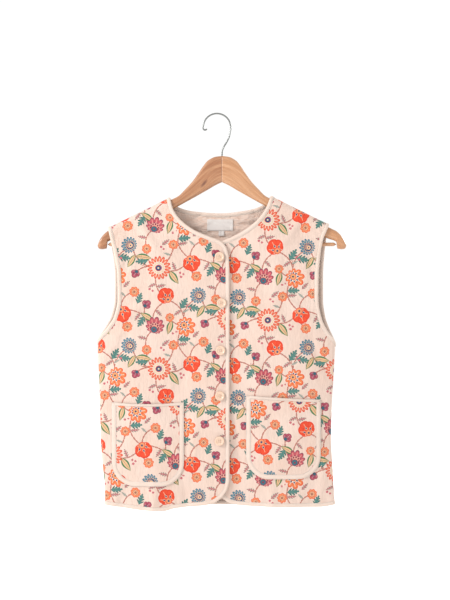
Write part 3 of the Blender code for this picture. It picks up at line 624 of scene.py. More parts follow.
# Leaves and sprigs that lie loose between: across, up, turn in degrees, length, kind
LOOSE_LEAVES = (
    (88.0, 18.0, 60.0, 18.0, "sprig"),
    (74.0, 8.0, 130.0, 22.8, "fern"),
    (18.0, 214.0, 80.0, 18.0, "sprig"),
    (34.0, 222.0, 20.0, 15.6, "wisp"),
    (104.0, 176.0, 110.0, 16.8, "sprig"),
    (90.0, 186.0, -40.0, 21.6, "fern"),
    (76.0, 116.0, 80.0, 18.0, "sprig"),
    (58.0, 112.0, -30.0, 15.6, "wisp"),
    (48.0, 92.0, 40.0, 18.0, "sprig"),
    (150.0, 74.0, 70.0, 21.6, "fern"),
    (152.0, 56.0, -60.0, 15.6, "wisp"),
    (8.0, 12.0, 100.0, 18.0, "sprig"),
    (126.0, 172.0, 10.0, 15.6, "wisp"),
    (118.0, 112.0, 45.0, 16.8, "sprig"),
    (34.0, 168.0, -100.0, 18.0, "sprig"),
    (140.0, 128.0, 150.0, 14.4, "wisp"),
    (84.0, 68.0, 160.0, 14.4, "wisp"),
    (20.0, 66.0, 190.0, 15.6, "sprig"),
)
LEAF_SPOTS = (0.25, 0.5, 0.75)
LEAF_CLEAR = 1.8
LEAF_APART = 6.0

# The photograph: 450 by 600 pixels, its middle and its height at the hanger's plane
VIEW_X = 14.4
VIEW_Z = -333.0
VIEW_HEIGHT = 1076.4
VIEW_DISTANCE = 2300.0
SENSOR = 36.0
FLOOR_Z = -800.0
FLOOR_HALF = 30000.0
FLOOR_COLOUR = (0.985, 0.983, 0.98, 1.0)
SKY_COLOUR = (1.0, 0.998, 0.994, 1.0)
SKY_STRENGTH = 1.04
FULL_LIGHT = 0.66
# Soft lights: name, place, diameter in metres, power in watts
LIGHTS = (
    ("key_light", (-2300.0, -1500.0, 900.0), 1.0, 74.0),
    ("back_light", (2200.0, 1700.0, 800.0), 1.2, 60.0),
)


def smooth(value):
    """Ease from 0 to 1 with level ends, held at 0 below and 1 above."""
    value = np.clip(value, 0.0, 1.0)
    return value * value * (3.0 - 2.0 * value)


def read_table(table, column, at):
    """Value of a column of a table whose first column rises, as a smooth curve through its rows.

    Between rows it is a cubic whose slope at a row is the harmonic mean of the slopes on each
    side, or level where they differ in sign, so the curve never overshoots its rows.
    """
    rows = np.array(table, dtype=float)
    keys = rows[:, 0]
    values = rows[:, column]
    steps = np.diff(keys)
    slopes = np.diff(values) / steps
    ends = np.concatenate(([slopes[0]], slopes, [slopes[-1]]))
    before = ends[:-1]
    after = ends[1:]
    same = before * after > 0.0
    bent = 2.0 * before * after / np.where(same, before + after, 1.0)
    tangents = np.where(same, bent, 0.0)
    at = np.asarray(at, dtype=float)
    place = np.clip(np.searchsorted(keys, at, side="right") - 1, 0, len(steps) - 1)
    share = np.clip((at - keys[place]) / steps[place], 0.0, 1.0)
    cubic = share ** 3
    square = share ** 2
    return (values[place] * (2 * cubic - 3 * square + 1)
            + values[place + 1] * (3 * square - 2 * cubic)
            + tangents[place] * steps[place] * (cubic - 2 * square + share)
            + tangents[place + 1] * steps[place] * (cubic - square))


def shoulder_z(x):
    """Height of the shoulder seam's line above x, the same slope on both sides of the hanger."""
    return SHOULDER_Z - SHOULDER_SLOPE * (np.abs(x - HANGER_X) - SHOULDER_REL)


def hanger_y(x):
    """Depth of the arms' middle, bowed forwards to their ends as the square of the distance."""
    return -ARM_BOW * ((x - HANGER_X) / ARM_REACH) ** 2


def half_depth(x, z, face):
    """Distance of a face's middle from the garment's middle sheet.

    A round crest over the arm at the shoulder, a tight round fold at the side seam, and
    between them a lens that is deepest in the middle.
    """
    column = 2 if face == "back" else 1
    full = read_table(DEPTHS, column, z)
    drop = np.maximum((shoulder_z(x) - z) * SHOULDER_COS, 0.0)
    crest = np.sqrt(1.0 - (1.0 - np.minimum(drop / CREST_RADIUS, 1.0)) ** 2)
    full = SHOULDER_HALF + (full - SHOULDER_HALF) * smooth(drop / SHOULDER_SPREAD)
    left = x - read_table(SIDES, 1, z)
    right = read_table(SIDES, 2, z) - x
    inward = np.maximum(np.minimum(left, right), 0.0)
    fold = SIDE_FOLD * np.sqrt(1.0 - (1.0 - np.minimum(inward / SIDE_FOLD, 1.0)) ** 2)
    rise = 1.0 - (1.0 - np.minimum(inward / SIDE_SPREAD, 1.0)) ** 2
    held = smooth((z - UNDERARM_Z) / UNDERARM_SPREAD)
    low = SHOULDER_HALF * held + fold * (1.0 - held)
    return crest * (low + (full - low) * rise)


def fold_height(x, z, face):
    """Sum of the face's soft folds: a bell across, easing out between its two heights."""
    height = np.zeros(np.broadcast(x, z).shape)
    for fold_face, middle, width, depth, deepest, gone in FOLDS:
        if fold_face == face:
            along = 1.0 - smooth((z - deepest) / (gone - deepest))
            height = height + depth * np.exp(-((x - middle) / width) ** 2) * along
    return height


def bell(x, z, middle_x, middle_z, turn, length, width):
    """A soft ridge: a bell curve of the distance across it, times one of the distance along it."""
    turn = math.radians(turn)
    along = (x - middle_x) * math.cos(turn) + (z - middle_z) * math.sin(turn)
    across = (z - middle_z) * math.cos(turn) - (x - middle_x) * math.sin(turn)
    bent = across - CREASE_BEND * width * (along / width) ** 2 * width / length
    return np.exp(-(bent / width) ** 2 - (along / length) ** 2)


def crease_height(x, z, face):
    """Sum of the face's listed creases, and a faint uneven swell of two slow waves."""
    bend = SWELL_BEND * np.sin(z / SWELL_BEND_UP)
    height = SWELL * np.sin(x / SWELL_ACROSS + bend) * np.sin(z / SWELL_UP + x / SWELL_SLANT)
    for crease_face, middle_x, middle_z, turn, length, width, size in CREASES:
        if crease_face == face:
            height = height + size * bell(x, z, middle_x, middle_z, turn, length, width)
    return CREASE_RISE * height


def face_y(x, z, face):
    """Depth of a face's middle: the bowed middle sheet, then half the lens, folds and lap."""
    out = 1.0 if face == "back" else -1.0
    easing = smooth((BOW_TOP - z) / (BOW_TOP - BOW_BOTTOM))
    middle = hanger_y(x) * (1.0 - (1.0 - BOW_AT_HEM) * easing)
    depth = half_depth(x, z, face)
    away_from_fold = smooth(depth / SHOULDER_HALF)
    raised = fold_height(x, z, face) + crease_height(x, z, face)
    depth = depth + raised * away_from_fold
    if face == "over":
        depth = depth + LAP * smooth((x - OVER_LAP_START) / LAP_SPREAD)
    if face == "under":
        depth = depth - LAP * smooth((UNDER_LAP_END - x) / LAP_SPREAD)
    return middle + out * (SEAM_GAP / 2 + depth)


def surface(x, z, face):
    """Points of a face's middle and its outward normals, from the slopes of face_y.

    A point outside the garment's outline is first brought back to its side or shoulder.
    """
    step = 0.05
    out = 1.0 if face == "back" else -1.0
    x, z = np.broadcast_arrays(np.asarray(x, dtype=float), np.asarray(z, dtype=float))
    x = np.clip(x, read_table(SIDES, 1, z), read_table(SIDES, 2, z))
    z = np.minimum(z, shoulder_z(x))
    points = np.stack([x, face_y(x, z, face), z], axis=-1)
    slope_x = (face_y(x + step, z, face) - face_y(x - step, z, face)) / (2 * step)
    slope_z = (face_y(x, z + step, face) - face_y(x, z - step, face)) / (2 * step)
    normals = np.stack([-slope_x, np.ones_like(x), -slope_z], axis=-1) * out
    normals /= np.linalg.norm(normals, axis=-1, keepdims=True)
    return points, normals


def flatten_normals(normals):
    """Normals turned into the plane of a seam, so that both sides of it meet squarely."""
    normals = normals * np.array([1.0, 0.0, 1.0])
    return normals / np.linalg.norm(normals, axis=-1, keepdims=True)


def patch(across, up, bottom, top, start, end):
    """Points inside four edges, each blended from its two opposite pairs less the corners."""
    across = across[..., None]
    up = up[..., None]
    corners = ((1 - across) * (1 - up) * bottom[:, :1] + across * (1 - up) * bottom[:, -1:]
               + (1 - across) * up * top[:, :1] + across * up * top[:, -1:])
    return (1 - up) * bottom + up * top + (1 - across) * start + across * end - corners


def distances(line):
    """How far along a line of points each of them lies."""
    steps = np.linalg.norm(np.diff(line, axis=0), axis=1)
    return np.concatenate([[0.0], np.cumsum(steps)])


def edge(table, shares):
    """The x and z of an edge's table at each share of its way."""
    return np.stack([read_table(table, 1, shares), read_table(table, 2, shares)], axis=-1)


def outer_edge(table, side_column, shares):
    """The x and z of a side seam and the armhole above it."""
    flat = edge(table, shares)
    on_seam = shares <= UNDERARM_SHARE
    flat[on_seam, 0] = read_table(SIDES, side_column, flat[on_seam, 1])
    return flat


def end_on_shoulder(flat):
    """An edge whose last point is brought onto the shoulder seam's line."""
    flat[-1, 1] = shoulder_z(flat[-1, 0])
    return flat


def refine(stations, spacing):
    """Stations with each step split evenly, in at least two, to steps no longer than spacing."""
    parts = [np.linspace(near, far, max(2, math.ceil((far - near) / spacing)) + 1)[:-1]
             for near, far in zip(stations, stations[1:])]
    return np.concatenate(parts + [np.array(stations[-1:])])


def make_mesh(name, points, *face_sets):
    """A mesh of points in millimetres and of arrays of quads or triangles."""
    corners = np.concatenate([faces.ravel() for faces in face_sets])
    sizes = np.concatenate([np.full(len(faces), faces.shape[1]) for faces in face_sets])
    mesh = bpy.data.meshes.new(name)
    mesh.vertices.add(len(points))
    mesh.loops.add(len(corners))
    mesh.polygons.add(len(sizes))
    mesh.vertices.foreach_set("co", (points * MM).astype(np.float32).ravel())
    mesh.loops.foreach_set("vertex_index", corners.astype(np.int32))
    mesh.polygons.foreach_set("loop_start", (np.cumsum(sizes) - sizes).astype(np.int32))
    mesh.polygons.foreach_set("use_smooth", np.ones(len(sizes), dtype=bool))
    mesh.update(calc_edges=True)
    return mesh


def store(mesh, name, kind, domain, values):
    """An attribute of a mesh, one row of numbers for each of its points or corners."""
    made = mesh.attributes.new(name, kind, domain)
    field = "color" if kind == "FLOAT_COLOR" else "vector"
    made.data.foreach_set(field, np.ascontiguousarray(values, dtype=np.float32).ravel())


def store_uv(mesh, places):
    """A UV map from the places, in millimetres of cloth, of the mesh's points."""
    corners = np.empty(len(mesh.loops), dtype=np.int32)
    mesh.loops.foreach_get("vertex_index", corners)
    layer = mesh.uv_layers.new(name="cloth")
    layer.data.foreach_set("uv", (places[corners] * MM).astype(np.float32).ravel())


def make_piece(mesh, slot, nodes, *materials):
    """The object of a finished mesh, on the model's one body in place of its CAD nodes."""
    piece = bpy.data.objects.new(mesh.name, mesh)
    bpy.context.scene.collection.objects.link(piece)
    for material in materials:
        mesh.materials.append(material)
    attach(piece, "root")
    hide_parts(*nodes)
    return piece


def grid_quads(rows, columns):
    """Quads of a grid of points, rows by columns, turned outwards for a grid seen from -Y."""
    index = np.arange(rows * columns).reshape(rows, columns)
    return np.stack([index[:-1, :-1], index[:-1, 1:], index[1:, 1:], index[1:, :-1]],
                    axis=-1).reshape(-1, 4)


def shell_faces(rows, columns):
    """Faces of a shell's outside, its inside and its rim, for two grids one after the other."""
    index = np.arange(rows * columns).reshape(rows, columns)
    outside = grid_quads(rows, columns)
    inside = outside[:, ::-1] + rows * columns
    rim = np.concatenate([index[0, :-1], index[:-1, -1], index[-1, :0:-1], index[:0:-1, 0]])
    following = np.roll(rim, -1)
    other = rows * columns
    side = np.stack([following, rim, rim + other, following + other], axis=-1)
    return outside, inside, side


def ring_faces(count, size, closed):
    """Quads between rings of points, and for an open run a fan to the pole at each end.

    The poles are the two points after the rings.
    """
    index = np.arange(count * size).reshape(count, size)
    following = np.roll(index, -1, axis=0) if closed else index[1:]
    first = index if closed else index[:-1]
    quads = np.stack([first, np.roll(first, -1, axis=1), np.roll(following, -1, axis=1),
                      following], axis=-1).reshape(-1, 4)
    if closed:
        return (quads,)
    ends = [(index[0, ::-1], count * size), (index[-1], count * size + 1)]
    fans = [np.stack([ring, np.roll(ring, -1), np.full(size, pole)], axis=-1)
            for ring, pole in ends]
    return quads, fans[0], fans[1]


def with_poles(rings):
    """The points of an open run of rings, and after them the middle of its first and last ring."""
    return np.concatenate([rings.reshape(-1, 3), rings[:1].mean(axis=1), rings[-1:].mean(axis=1)])


def outwards(mesh):
    """Turns all faces round where the mesh's volume, from its corners, comes out negative."""
    mesh.calc_loop_triangles()
    corners = np.empty(len(mesh.loop_triangles) * 3, dtype=np.int32)
    mesh.loop_triangles.foreach_get("vertices", corners)
    points = np.empty(len(mesh.vertices) * 3, dtype=np.float32)
    mesh.vertices.foreach_get("co", points)
    one, two, three = points.reshape(-1, 3)[corners].reshape(-1, 3, 3).transpose(1, 0, 2)
    if np.einsum("ij,ij->i", one, np.cross(two, three)).sum() < 0.0:
        mesh.flip_normals()
    return mesh


def tint(text):
    """Linear red, green, blue and alpha of an sRGB hex colour measured in the bright photograph.

    The share FULL_LIGHT takes off what the studio's light adds to it again.
    """
    parts = np.array([int(text[place:place + 2], 16) for place in (1, 3, 5)]) / 255.0
    linear = np.where(parts <= 0.04045, parts / 12.92, ((parts + 0.055) / 1.055) ** 2.4)
    return (*(linear * FULL_LIGHT).tolist(), 1.0)


def from_lattice(points, place):
    """Offsets of points from the nearest copy of a place in the half-drop repeat.

    The number of column steps is taken off first, with its half drops, then whole repeats.
    """
    away = points[:, None, :] - place[None, :, :]
    columns = np.round(away[..., 0] / COLUMN_STEP)
    across = away[..., 0] - columns * COLUMN_STEP
    up = away[..., 1] - columns * DROP
    return across, up - np.round(up / REPEAT) * REPEAT


def stem_line(stem):
    """Points along a stem and its directions: its chord, bowed to the left as a parabola."""
    start, end, bow = np.array(stem[:2]), np.array(stem[2:4]), stem[4]
    share = np.linspace(0.0, 1.0, STEM_STEPS)[:, None]
    chord = end - start
    left = np.array([-chord[1], chord[0]]) / np.linalg.norm(chord)
    line = start + chord * share + left * bow * 4 * share * (1 - share)
    ahead = chord + left * bow * 4 * (1 - 2 * share)
    return line * CHART_SCALE, ahead / np.linalg.norm(ahead, axis=-1, keepdims=True)


def tried_leaves(lines):
    """Base, heading, length and kind of the leaves tried on each stem, then of the loose ones."""
    for number, (line, ahead) in enumerate(lines):
        side = 1.0 if number % 2 else -1.0
        for step in range(len(LEAF_PATTERN)):
            row = LEAF_PATTERN[(step + LEAF_ROTATION * number) % len(LEAF_PATTERN)]
            share, turn, length, kind = row
            place = round(share * (STEM_STEPS - 1))
            heading = math.atan2(ahead[place, 1], ahead[place, 0]) + side * math.radians(turn)
            yield number, line[place], heading, length, kind
    for across, up, turn, length, kind in LOOSE_LEAVES:
        yield None, np.array((across, up)) * CHART_SCALE, math.radians(turn), length, kind


def grown_leaves(lines, flower_places, radii):
    """The tried leaves, without those whose spots come too near a flower or another leaf."""
    grown = []
    taken = np.full((1, 2), 1e6)
    on_stem = dict.fromkeys(range(len(lines)), 0)
    for stem, base, heading, length, kind in tried_leaves(lines):
        head = np.array((math.cos(heading), math.sin(heading)))
        spots = base + head * length * np.array(LEAF_SPOTS)[:, None]
        to_flower = np.hypot(*from_lattice(spots, flower_places)) - radii
        to_leaf = np.hypot(*from_lattice(spots, taken))
        full = stem is not None and on_stem[stem] >= LEAVES_A_STEM
        if not full and to_flower[1:].min() > LEAF_CLEAR and to_leaf.min() > LEAF_APART:
            grown.append((base, heading, length, kind))
            taken = np.concatenate([taken, spots])
            if stem is not None:
                on_stem[stem] += 1
    return grown


def print_on(mesh, face_count, places, piece):
    """Attributes that the printed cotton's material draws its flowers, leaves and stems from.

    Each face of the outside takes the flower and the leaf whose middle is nearest, as a share
    of its size, and its corners hold their places from there, turned and scaled. Each point
    holds its distance across the nearest stem, with a sign, and from it, without one.
    """
    places = places + np.array(CUTS[piece])
    lines = [stem_line(stem) for stem in STEMS]
    knots = np.concatenate([line for line, _ in lines])
    ahead = np.concatenate([direction for _, direction in lines])
    way = np.concatenate([distances(line) for line, _ in lines])
    vine = np.full((len(mesh.vertices), 3), NOWHERE)
    for start in range(0, len(places), BATCH):
        across, up = from_lattice(places[start:start + BATCH], knots)
        along = across * ahead[:, 0] + up * ahead[:, 1]
        beside = up * ahead[:, 0] - across * ahead[:, 1]
        nearest = np.argmin(across ** 2 + up ** 2, axis=1)
        row = np.arange(len(nearest))
        beside = beside[row, nearest]
        past = np.maximum(np.abs(along[row, nearest]) - STEM_POINT_REACH, 0.0)
        vine[start:start + BATCH] = np.stack(
            [beside, np.hypot(beside, past), way[nearest] + along[row, nearest]], axis=-1)
    store(mesh, "vine", "FLOAT_VECTOR", "POINT", vine)

    corners = np.empty(len(mesh.loops), dtype=np.int32)
    mesh.loops.foreach_get("vertex_index", corners)
    corners = corners[:face_count * 4].reshape(-1, 4)
    middles = places[corners].mean(axis=1)

    flower_places = np.array([row[1:3] for row in FLOWERS]) * CHART_SCALE
    radii = np.array([row[4] for row in FLOWERS])
    flower_turns = np.radians([row[3] for row in FLOWERS])
    kinds = [FLOWER_KINDS[row[0]] for row in FLOWERS]
    across, up = from_lattice(middles, flower_places)
    owner = np.argmin(np.hypot(across, up) / radii, axis=1)
    write_local(mesh, "flower", corners, places, middles, flower_places[owner],
                flower_turns[owner], radii[owner])
    write_rows(mesh, "flower_form", owner, np.array([kind[:3] for kind in kinds]))
    for place, name in enumerate(("petal", "rim", "vein", "inner", "heart", "dots"), start=3):
        write_rows(mesh, "flower_" + name, owner, np.array([tint(kind[place]) for kind in kinds]))

    grown = grown_leaves(lines, flower_places, radii)
    bases = np.array([row[0] for row in grown])
    leaf_turns = np.array([row[1] for row in grown])
    lengths = np.array([row[2] for row in grown])
    kinds = [LEAF_KINDS[row[3]] for row in grown]
    heads = np.stack([np.cos(leaf_turns), np.sin(leaf_turns)], axis=-1)
    across, up = from_lattice(middles, bases + heads * lengths[:, None] / 2)
    along = across * heads[:, 0] + up * heads[:, 1]
    beside = up * heads[:, 0] - across * heads[:, 1]
    widths = np.array([kind[0] for kind in kinds]) * lengths
    owner = np.argmin(np.hypot(along / lengths * 2, beside / widths), axis=1)
    write_local(mesh, "leaf", corners, places, middles, bases[owner], leaf_turns[owner],
                lengths[owner])
    write_rows(mesh, "leaf_form", owner, np.array([kind[:3] for kind in kinds]))
    write_rows(mesh, "leaf_fill", owner, np.array([tint(kind[3]) for kind in kinds]))
    write_rows(mesh, "leaf_line", owner, np.array([tint(kind[4]) for kind in kinds]))


def write_local(mesh, name, corners, places, middles, origins, turns, sizes):
    """Each corner's place from its face's motif, turned to the motif and divided by its size."""
    away = middles - origins
    columns = np.round(away[:, 0] / COLUMN_STEP)
    up = away[:, 1] - columns * DROP
    shift = np.stack([columns * COLUMN_STEP,
                      columns * DROP + np.round(up / REPEAT) * REPEAT], axis=-1)
    local = places[corners] - (origins + shift)[:, None, :]
    cos, sin = np.cos(turns)[:, None], np.sin(turns)[:, None]
    along = (local[..., 0] * cos + local[..., 1] * sin) / sizes[:, None]
    beside = (local[..., 1] * cos - local[..., 0] * sin) / sizes[:, None]
    values = np.full((len(mesh.loops), 3), NO_MOTIF)
    values[:corners.size] = np.stack([along, beside, 0 * along], axis=-1).reshape(-1, 3)
    store(mesh, name, "FLOAT_VECTOR", "CORNER", values)


def write_rows(mesh, name, owner, rows):
    """Each corner's row of a table, by its face's motif."""
    values = np.zeros((len(mesh.loops), rows.shape[1]))
    values[:len(owner) * 4] = np.repeat(rows[owner], 4, axis=0)
    kind = "FLOAT_COLOR" if rows.shape[1] == 4 else "FLOAT_VECTOR"
    store(mesh, name, kind, "CORNER", values)


def cloth_places(flat, grid):
    """Places in the flat cut: x and z, with what each row and column takes up in depth added."""
    extra_x = np.linalg.norm(np.diff(grid, axis=1), axis=-1) - np.linalg.norm(
        np.diff(flat, axis=1), axis=-1)
    extra_z = np.linalg.norm(np.diff(grid, axis=0), axis=-1) - np.linalg.norm(
        np.diff(flat, axis=0), axis=-1)
    taken_x = np.concatenate([np.zeros((len(flat), 1)), np.cumsum(extra_x, axis=1)], axis=1)
    taken_z = np.concatenate([np.zeros((1, flat.shape[1])), np.cumsum(extra_z, axis=0)])
    heading = np.sign(flat[:, -1:, 0] - flat[:, :1, 0])
    return np.stack([flat[..., 0] + heading * taken_x, flat[..., 1] + taken_z], axis=-1)


def flat_size(flat):
    """Width, length and area of a flat cut, in metres, the area summed over its grid's cells."""
    size = (flat.reshape(-1, 2).max(axis=0) - flat.reshape(-1, 2).min(axis=0)) * MM
    one = flat[1:, 1:] - flat[:-1, :-1]
    two = flat[1:, :-1] - flat[:-1, 1:]
    area = np.abs(one[..., 0] * two[..., 1] - one[..., 1] * two[..., 0]).sum() / 2 * MM * MM
    return (float(size[0]), float(size[1])), float(area)


def add_shell(name, slot, nodes, flat, grid, normals, inner, outer, piece, materials,
              turning=0.0):
    """A thin closed shell of cloth: the grid moved along its normals to inner and to outer.

    Its outside is printed when piece names its place in the print. The size of its flat cut is worked
    out, with a turning at its ends where it has one, but not used.
    """
    rows, columns = grid.shape[:2]
    places = cloth_places(flat, grid)
    points = np.concatenate([(grid + normals * outer).reshape(-1, 3),
                             (grid + normals * inner).reshape(-1, 3)])
    outside, inside, side = shell_faces(rows, columns)
    mesh = outwards(make_mesh(name, points, outside, inside, side))
    flat_places = places.reshape(-1, 2)
    if piece == "back":
        flat_places = flat_places * (-1.0, 1.0)
    both = np.concatenate([flat_places, flat_places])
    store_uv(mesh, both)
    if piece:
        print_on(mesh, len(outside), both, piece)
    made = make_piece(mesh, slot, nodes, *materials)
    if len(materials) > 1:
        which = np.ones(len(mesh.polygons), dtype=np.int32)
        which[:len(outside)] = 0
        mesh.polygons.foreach_set("material_index", which)
    size, area = flat_size(places)
    if turning:
        size = tuple(side + turning * MM for side in size)
        area = size[0] * size[1]
    return made


def level_run(runs, level):
    """Edge runs joined at a distance in from the edge, one station on each seam they meet at."""
    points = []
    normals = []
    for run, following in zip(runs, runs[1:] + runs[:1]):
        flat = run["flat"] + run["into"] * level
        run_points, run_normals = surface(flat[:, 0], flat[:, 1], run["face"])
        end = flat[-1]
        other, other_normal = surface(end[0], end[1], following["face"])
        points.extend([run_points[1:-1], (run_points[-1:] + other) / 2])
        normals.extend([run_normals[1:-1], flatten_normals(run_normals[-1:] + other_normal)])
    return np.concatenate(points), np.concatenate(normals)


def edge_run(flat, face, inward, start_into, end_into):
    """An edge on a face, and its unit directions into the cloth.

    A direction is the turn of the run by a right angle in x and z, to the side that
    inward names, 1 or -1, and eases to the seam's own direction at both ends.
    """
    ahead = np.gradient(flat, axis=0)
    ahead /= np.linalg.norm(ahead, axis=-1, keepdims=True)
    into = inward * np.stack([-ahead[:, 1], ahead[:, 0]], axis=-1)
    along = distances(flat)
    for distance, seam_into in ((along, start_into), (along[-1] - along, end_into)):
        share = smooth(distance / BINDING_EASE)[:, None]
        into = into * share + np.array(seam_into) * (1.0 - share)
    into /= np.linalg.norm(into, axis=-1, keepdims=True)
    return {"flat": flat, "into": into, "face": face}


def ripple(along, across):
    """Small uneven puckers of a bound edge, sines of three lengths that fade to both edges."""
    wander = RIPPLE_WANDER * np.sin(along / RIPPLE_WANDER_WAVE)
    waves = np.sin(along / RIPPLE_WAVE + wander)
    for size, length, start in RIPPLE_OTHERS:
        waves = waves + size * np.sin(along / length + start)
    return RIPPLE * waves * np.sin(np.pi * np.clip(across, 0.0, 1.0))


def add_binding(name, node, runs, material):
    """A strip folded over a closed run of edges, puffed between its stitches and its nose.

    Its section is BINDING_PROFILE on both faces and CAVITY_PROFILE round the cloth within,
    each height taken along the normal of the cloth at that distance from the edge.
    """
    outer = list(BINDING_PROFILE) + [(share, -height) for share, height in BINDING_PROFILE[::-1]]
    hollow = [(share, -height) for share, height in CAVITY_PROFILE[::-1]] + list(CAVITY_PROFILE)
    base, base_normals = level_run(runs, 0.0)
    near, _ = level_run(runs, 1.0)
    ahead = base - near
    ahead /= np.linalg.norm(ahead, axis=-1, keepdims=True)
    steps = np.linalg.norm(np.roll(base, -1, axis=0) - base, axis=-1)
    along = np.concatenate([[0.0], np.cumsum(steps)[:-1]])
    rings = []
    places = []
    for number, (share, height) in enumerate(outer + hollow):
        reach = share * BINDING_REACH
        level = BINDING_WIDTH - reach
        if level >= 0.0:
            points, normals = level_run(runs, level)
        else:
            points, normals = base - ahead * level, base_normals
        lift = height + (math.copysign(1.0, height) * ripple(along, share)
                         if number < len(outer) else 0.0)
        rings.append(points + normals * np.broadcast_to(lift, along.shape)[:, None])
        places.append(np.stack([along, np.full(len(along), reach)], axis=-1))
    rings = np.stack(rings, axis=1)
    mesh = outwards(make_mesh(name, rings.reshape(-1, 3), *ring_faces(*rings.shape[:2], True)))
    store_uv(mesh, np.stack(places, axis=1).reshape(-1, 2))
    made = make_piece(mesh, "bias_binding", [node], material)


def pocket_outline(left, right, top_left, top_right, sag, bottom):
    """The closed outline of a pocket in x and z, and 1 for each point on its top edge.

    From the top left down the side, round the two lower corners, up and back along the
    sagging top edge, each straight stretch and quarter round in even steps.
    """
    corner = POCKET_CORNER
    turn = np.linspace(0.0, math.pi / 2, CORNER_STEPS)[:, None]
    share = np.linspace(0.0, 1.0, STRAIGHT_STEPS)[:, None]
    down = np.array((left, top_left)) + share * (0.0, bottom + corner - top_left)
    first = (np.array((left + corner, bottom + corner))
             - corner * np.concatenate([np.cos(turn), np.sin(turn)], axis=1))
    floor = np.array((left + corner, bottom)) + share * (right - left - 2 * corner, 0.0)
    second = (np.array((right - corner, bottom + corner))
              + corner * np.concatenate([np.sin(turn), -np.cos(turn)], axis=1))
    rise = np.array((right, bottom + corner)) + share * (0.0, top_right - bottom - corner)
    height = top_right + (top_left - top_right) * share - sag * 4 * share * (1 - share)
    top = np.concatenate([right + (left - right) * share, height], axis=1)
    parts = [part[:-1] for part in (down, first, floor, second, rise, top)]
    on_top = np.concatenate([np.zeros(len(part)) for part in parts[:-1]] + [np.ones(len(top) - 1)])
    return np.concatenate(parts), on_top


def pocket_lift(x, z, left, right, top, bottom):
    """How far a pocket stands off its front: nothing at sides and floor, most at the top's middle."""
    across = np.clip((x - left) / (right - left), 0.0, 1.0)
    up = np.clip((z - bottom) / (top - bottom), 0.0, 1.0)
    arch = np.sin(np.pi * across)
    wave = 1.0 + np.sin(x / POCKET_WAVE + POCKET_BEND * np.sin(z / POCKET_BEND_WAVE))
    crumple = POCKET_CRUMPLE * arch * np.sin(np.pi * up) * wave
    return POCKET_BULGE * arch * up ** POCKET_OPENING + crumple


def add_pocket(side, face, left, right, top_left, top_right, sag, bottom, cloth, lining, band):
    """A patch pocket that stands off its front at the top, and the puffed band round it."""
    across = np.linspace(0.0, 1.0, POCKET_COLUMNS)
    quarter = np.linspace(0.0, math.pi / 2, POCKET_ROUND_ROWS)
    straight = np.linspace(POCKET_CORNER, top_left - bottom, POCKET_STRAIGHT_ROWS)
    up = np.concatenate([POCKET_CORNER * (1.0 - np.cos(quarter)), straight[1:]])
    drawn_in = POCKET_CORNER - np.sqrt(POCKET_CORNER ** 2
                                       - np.maximum(POCKET_CORNER - up, 0.0) ** 2)
    x = (left + drawn_in)[:, None] + (right - left - 2 * drawn_in)[:, None] * across
    share = (x - left) / (right - left)
    top = top_left + (top_right - top_left) * share - sag * 4 * share * (1 - share)
    z = bottom + (top - bottom) * (up / (top_left - bottom))[:, None]
    grid, normals = surface(x, z, face)
    grid = grid + normals * pocket_lift(x, z, left, right, top_left, bottom)[..., None]
    made = add_shell("patch_pocket_" + side, "printed_cotton", ["pocket_" + side],
                     np.stack([x, z], axis=-1), grid, normals, POCKET_LIFT,
                     POCKET_LIFT + POCKET_CLOTH, side, (cloth, lining))

    flat, on_top = pocket_outline(left, right, top_left, top_right, sag, bottom)
    ahead = np.roll(flat, -1, axis=0) - np.roll(flat, 1, axis=0)
    ahead /= np.linalg.norm(ahead, axis=-1, keepdims=True)
    into = np.stack([-ahead[:, 1], ahead[:, 0]], axis=-1)
    steps = np.linalg.norm(np.roll(flat, -1, axis=0) - flat, axis=-1)
    along = np.concatenate([[0.0], np.cumsum(steps)[:-1]])
    widths = np.where(on_top > 0.5, BAND_TOP, BAND_SIDE)
    for _ in range(BAND_EVENINGS):
        widths = (np.roll(widths, 1) + widths + np.roll(widths, -1)) / 3
    section = [(place, BAND_LIFT - BAND_SINK + height + ripple(along, place))
               for place, height in BAND_PROFILE]
    section += [(place, BAND_LIFT - BAND_UNDER) for place in BAND_UNDERSIDE]
    rings = []
    places = []
    for place, height in section:
        line = flat + into * (widths * (place - BAND_OVERHANG))[:, None]
        points, line_normals = surface(line[:, 0], line[:, 1], face)
        lift = height + pocket_lift(line[:, 0], line[:, 1], left, right, top_left, bottom)
        rings.append(points + line_normals * lift[:, None])
        row = min(place, 1.0 - place) * BAND_SIDE
        places.append(np.stack([along, np.full(len(along), row)], axis=-1))
    rings = np.stack(rings, axis=1)
    mesh = outwards(make_mesh("pocket_band_" + side, rings.reshape(-1, 3),
                              *ring_faces(*rings.shape[:2], True)))
    store_uv(mesh, np.stack(places, axis=1).reshape(-1, 2))
    made_band = make_piece(mesh, "bias_binding", ["pocket_binding_" + side], band)


def pucker(flat, bound):
    """Small uneven waves of the cloth beside its bound edges.

    Sines of the distance along the edge, none under its strip, dying away past it as e to
    minus the distance over PUCKER_SPREAD.
    """
    along = distances(bound)
    spots = flat.reshape(-1, 2)
    height = np.zeros(len(spots))
    for start in range(0, len(spots), BATCH):
        away = np.linalg.norm(spots[start:start + BATCH, None] - bound[None], axis=-1)
        place = along[away.argmin(axis=1)]
        past = away.min(axis=1) - BINDING_WIDTH
        wander = PUCKER_WANDER * np.sin(place / PUCKER_WANDER_WAVE)
        wave = (np.sin(place / PUCKER_WAVE + wander)
                + PUCKER_SLOW * np.sin(place / PUCKER_SLOW_WAVE))
        fading = smooth(past / PUCKER_START) * np.exp(-past / PUCKER_SPREAD)
        height[start:start + BATCH] = wave * fading
    return PUCKER * height.reshape(flat.shape[:2])[..., None]


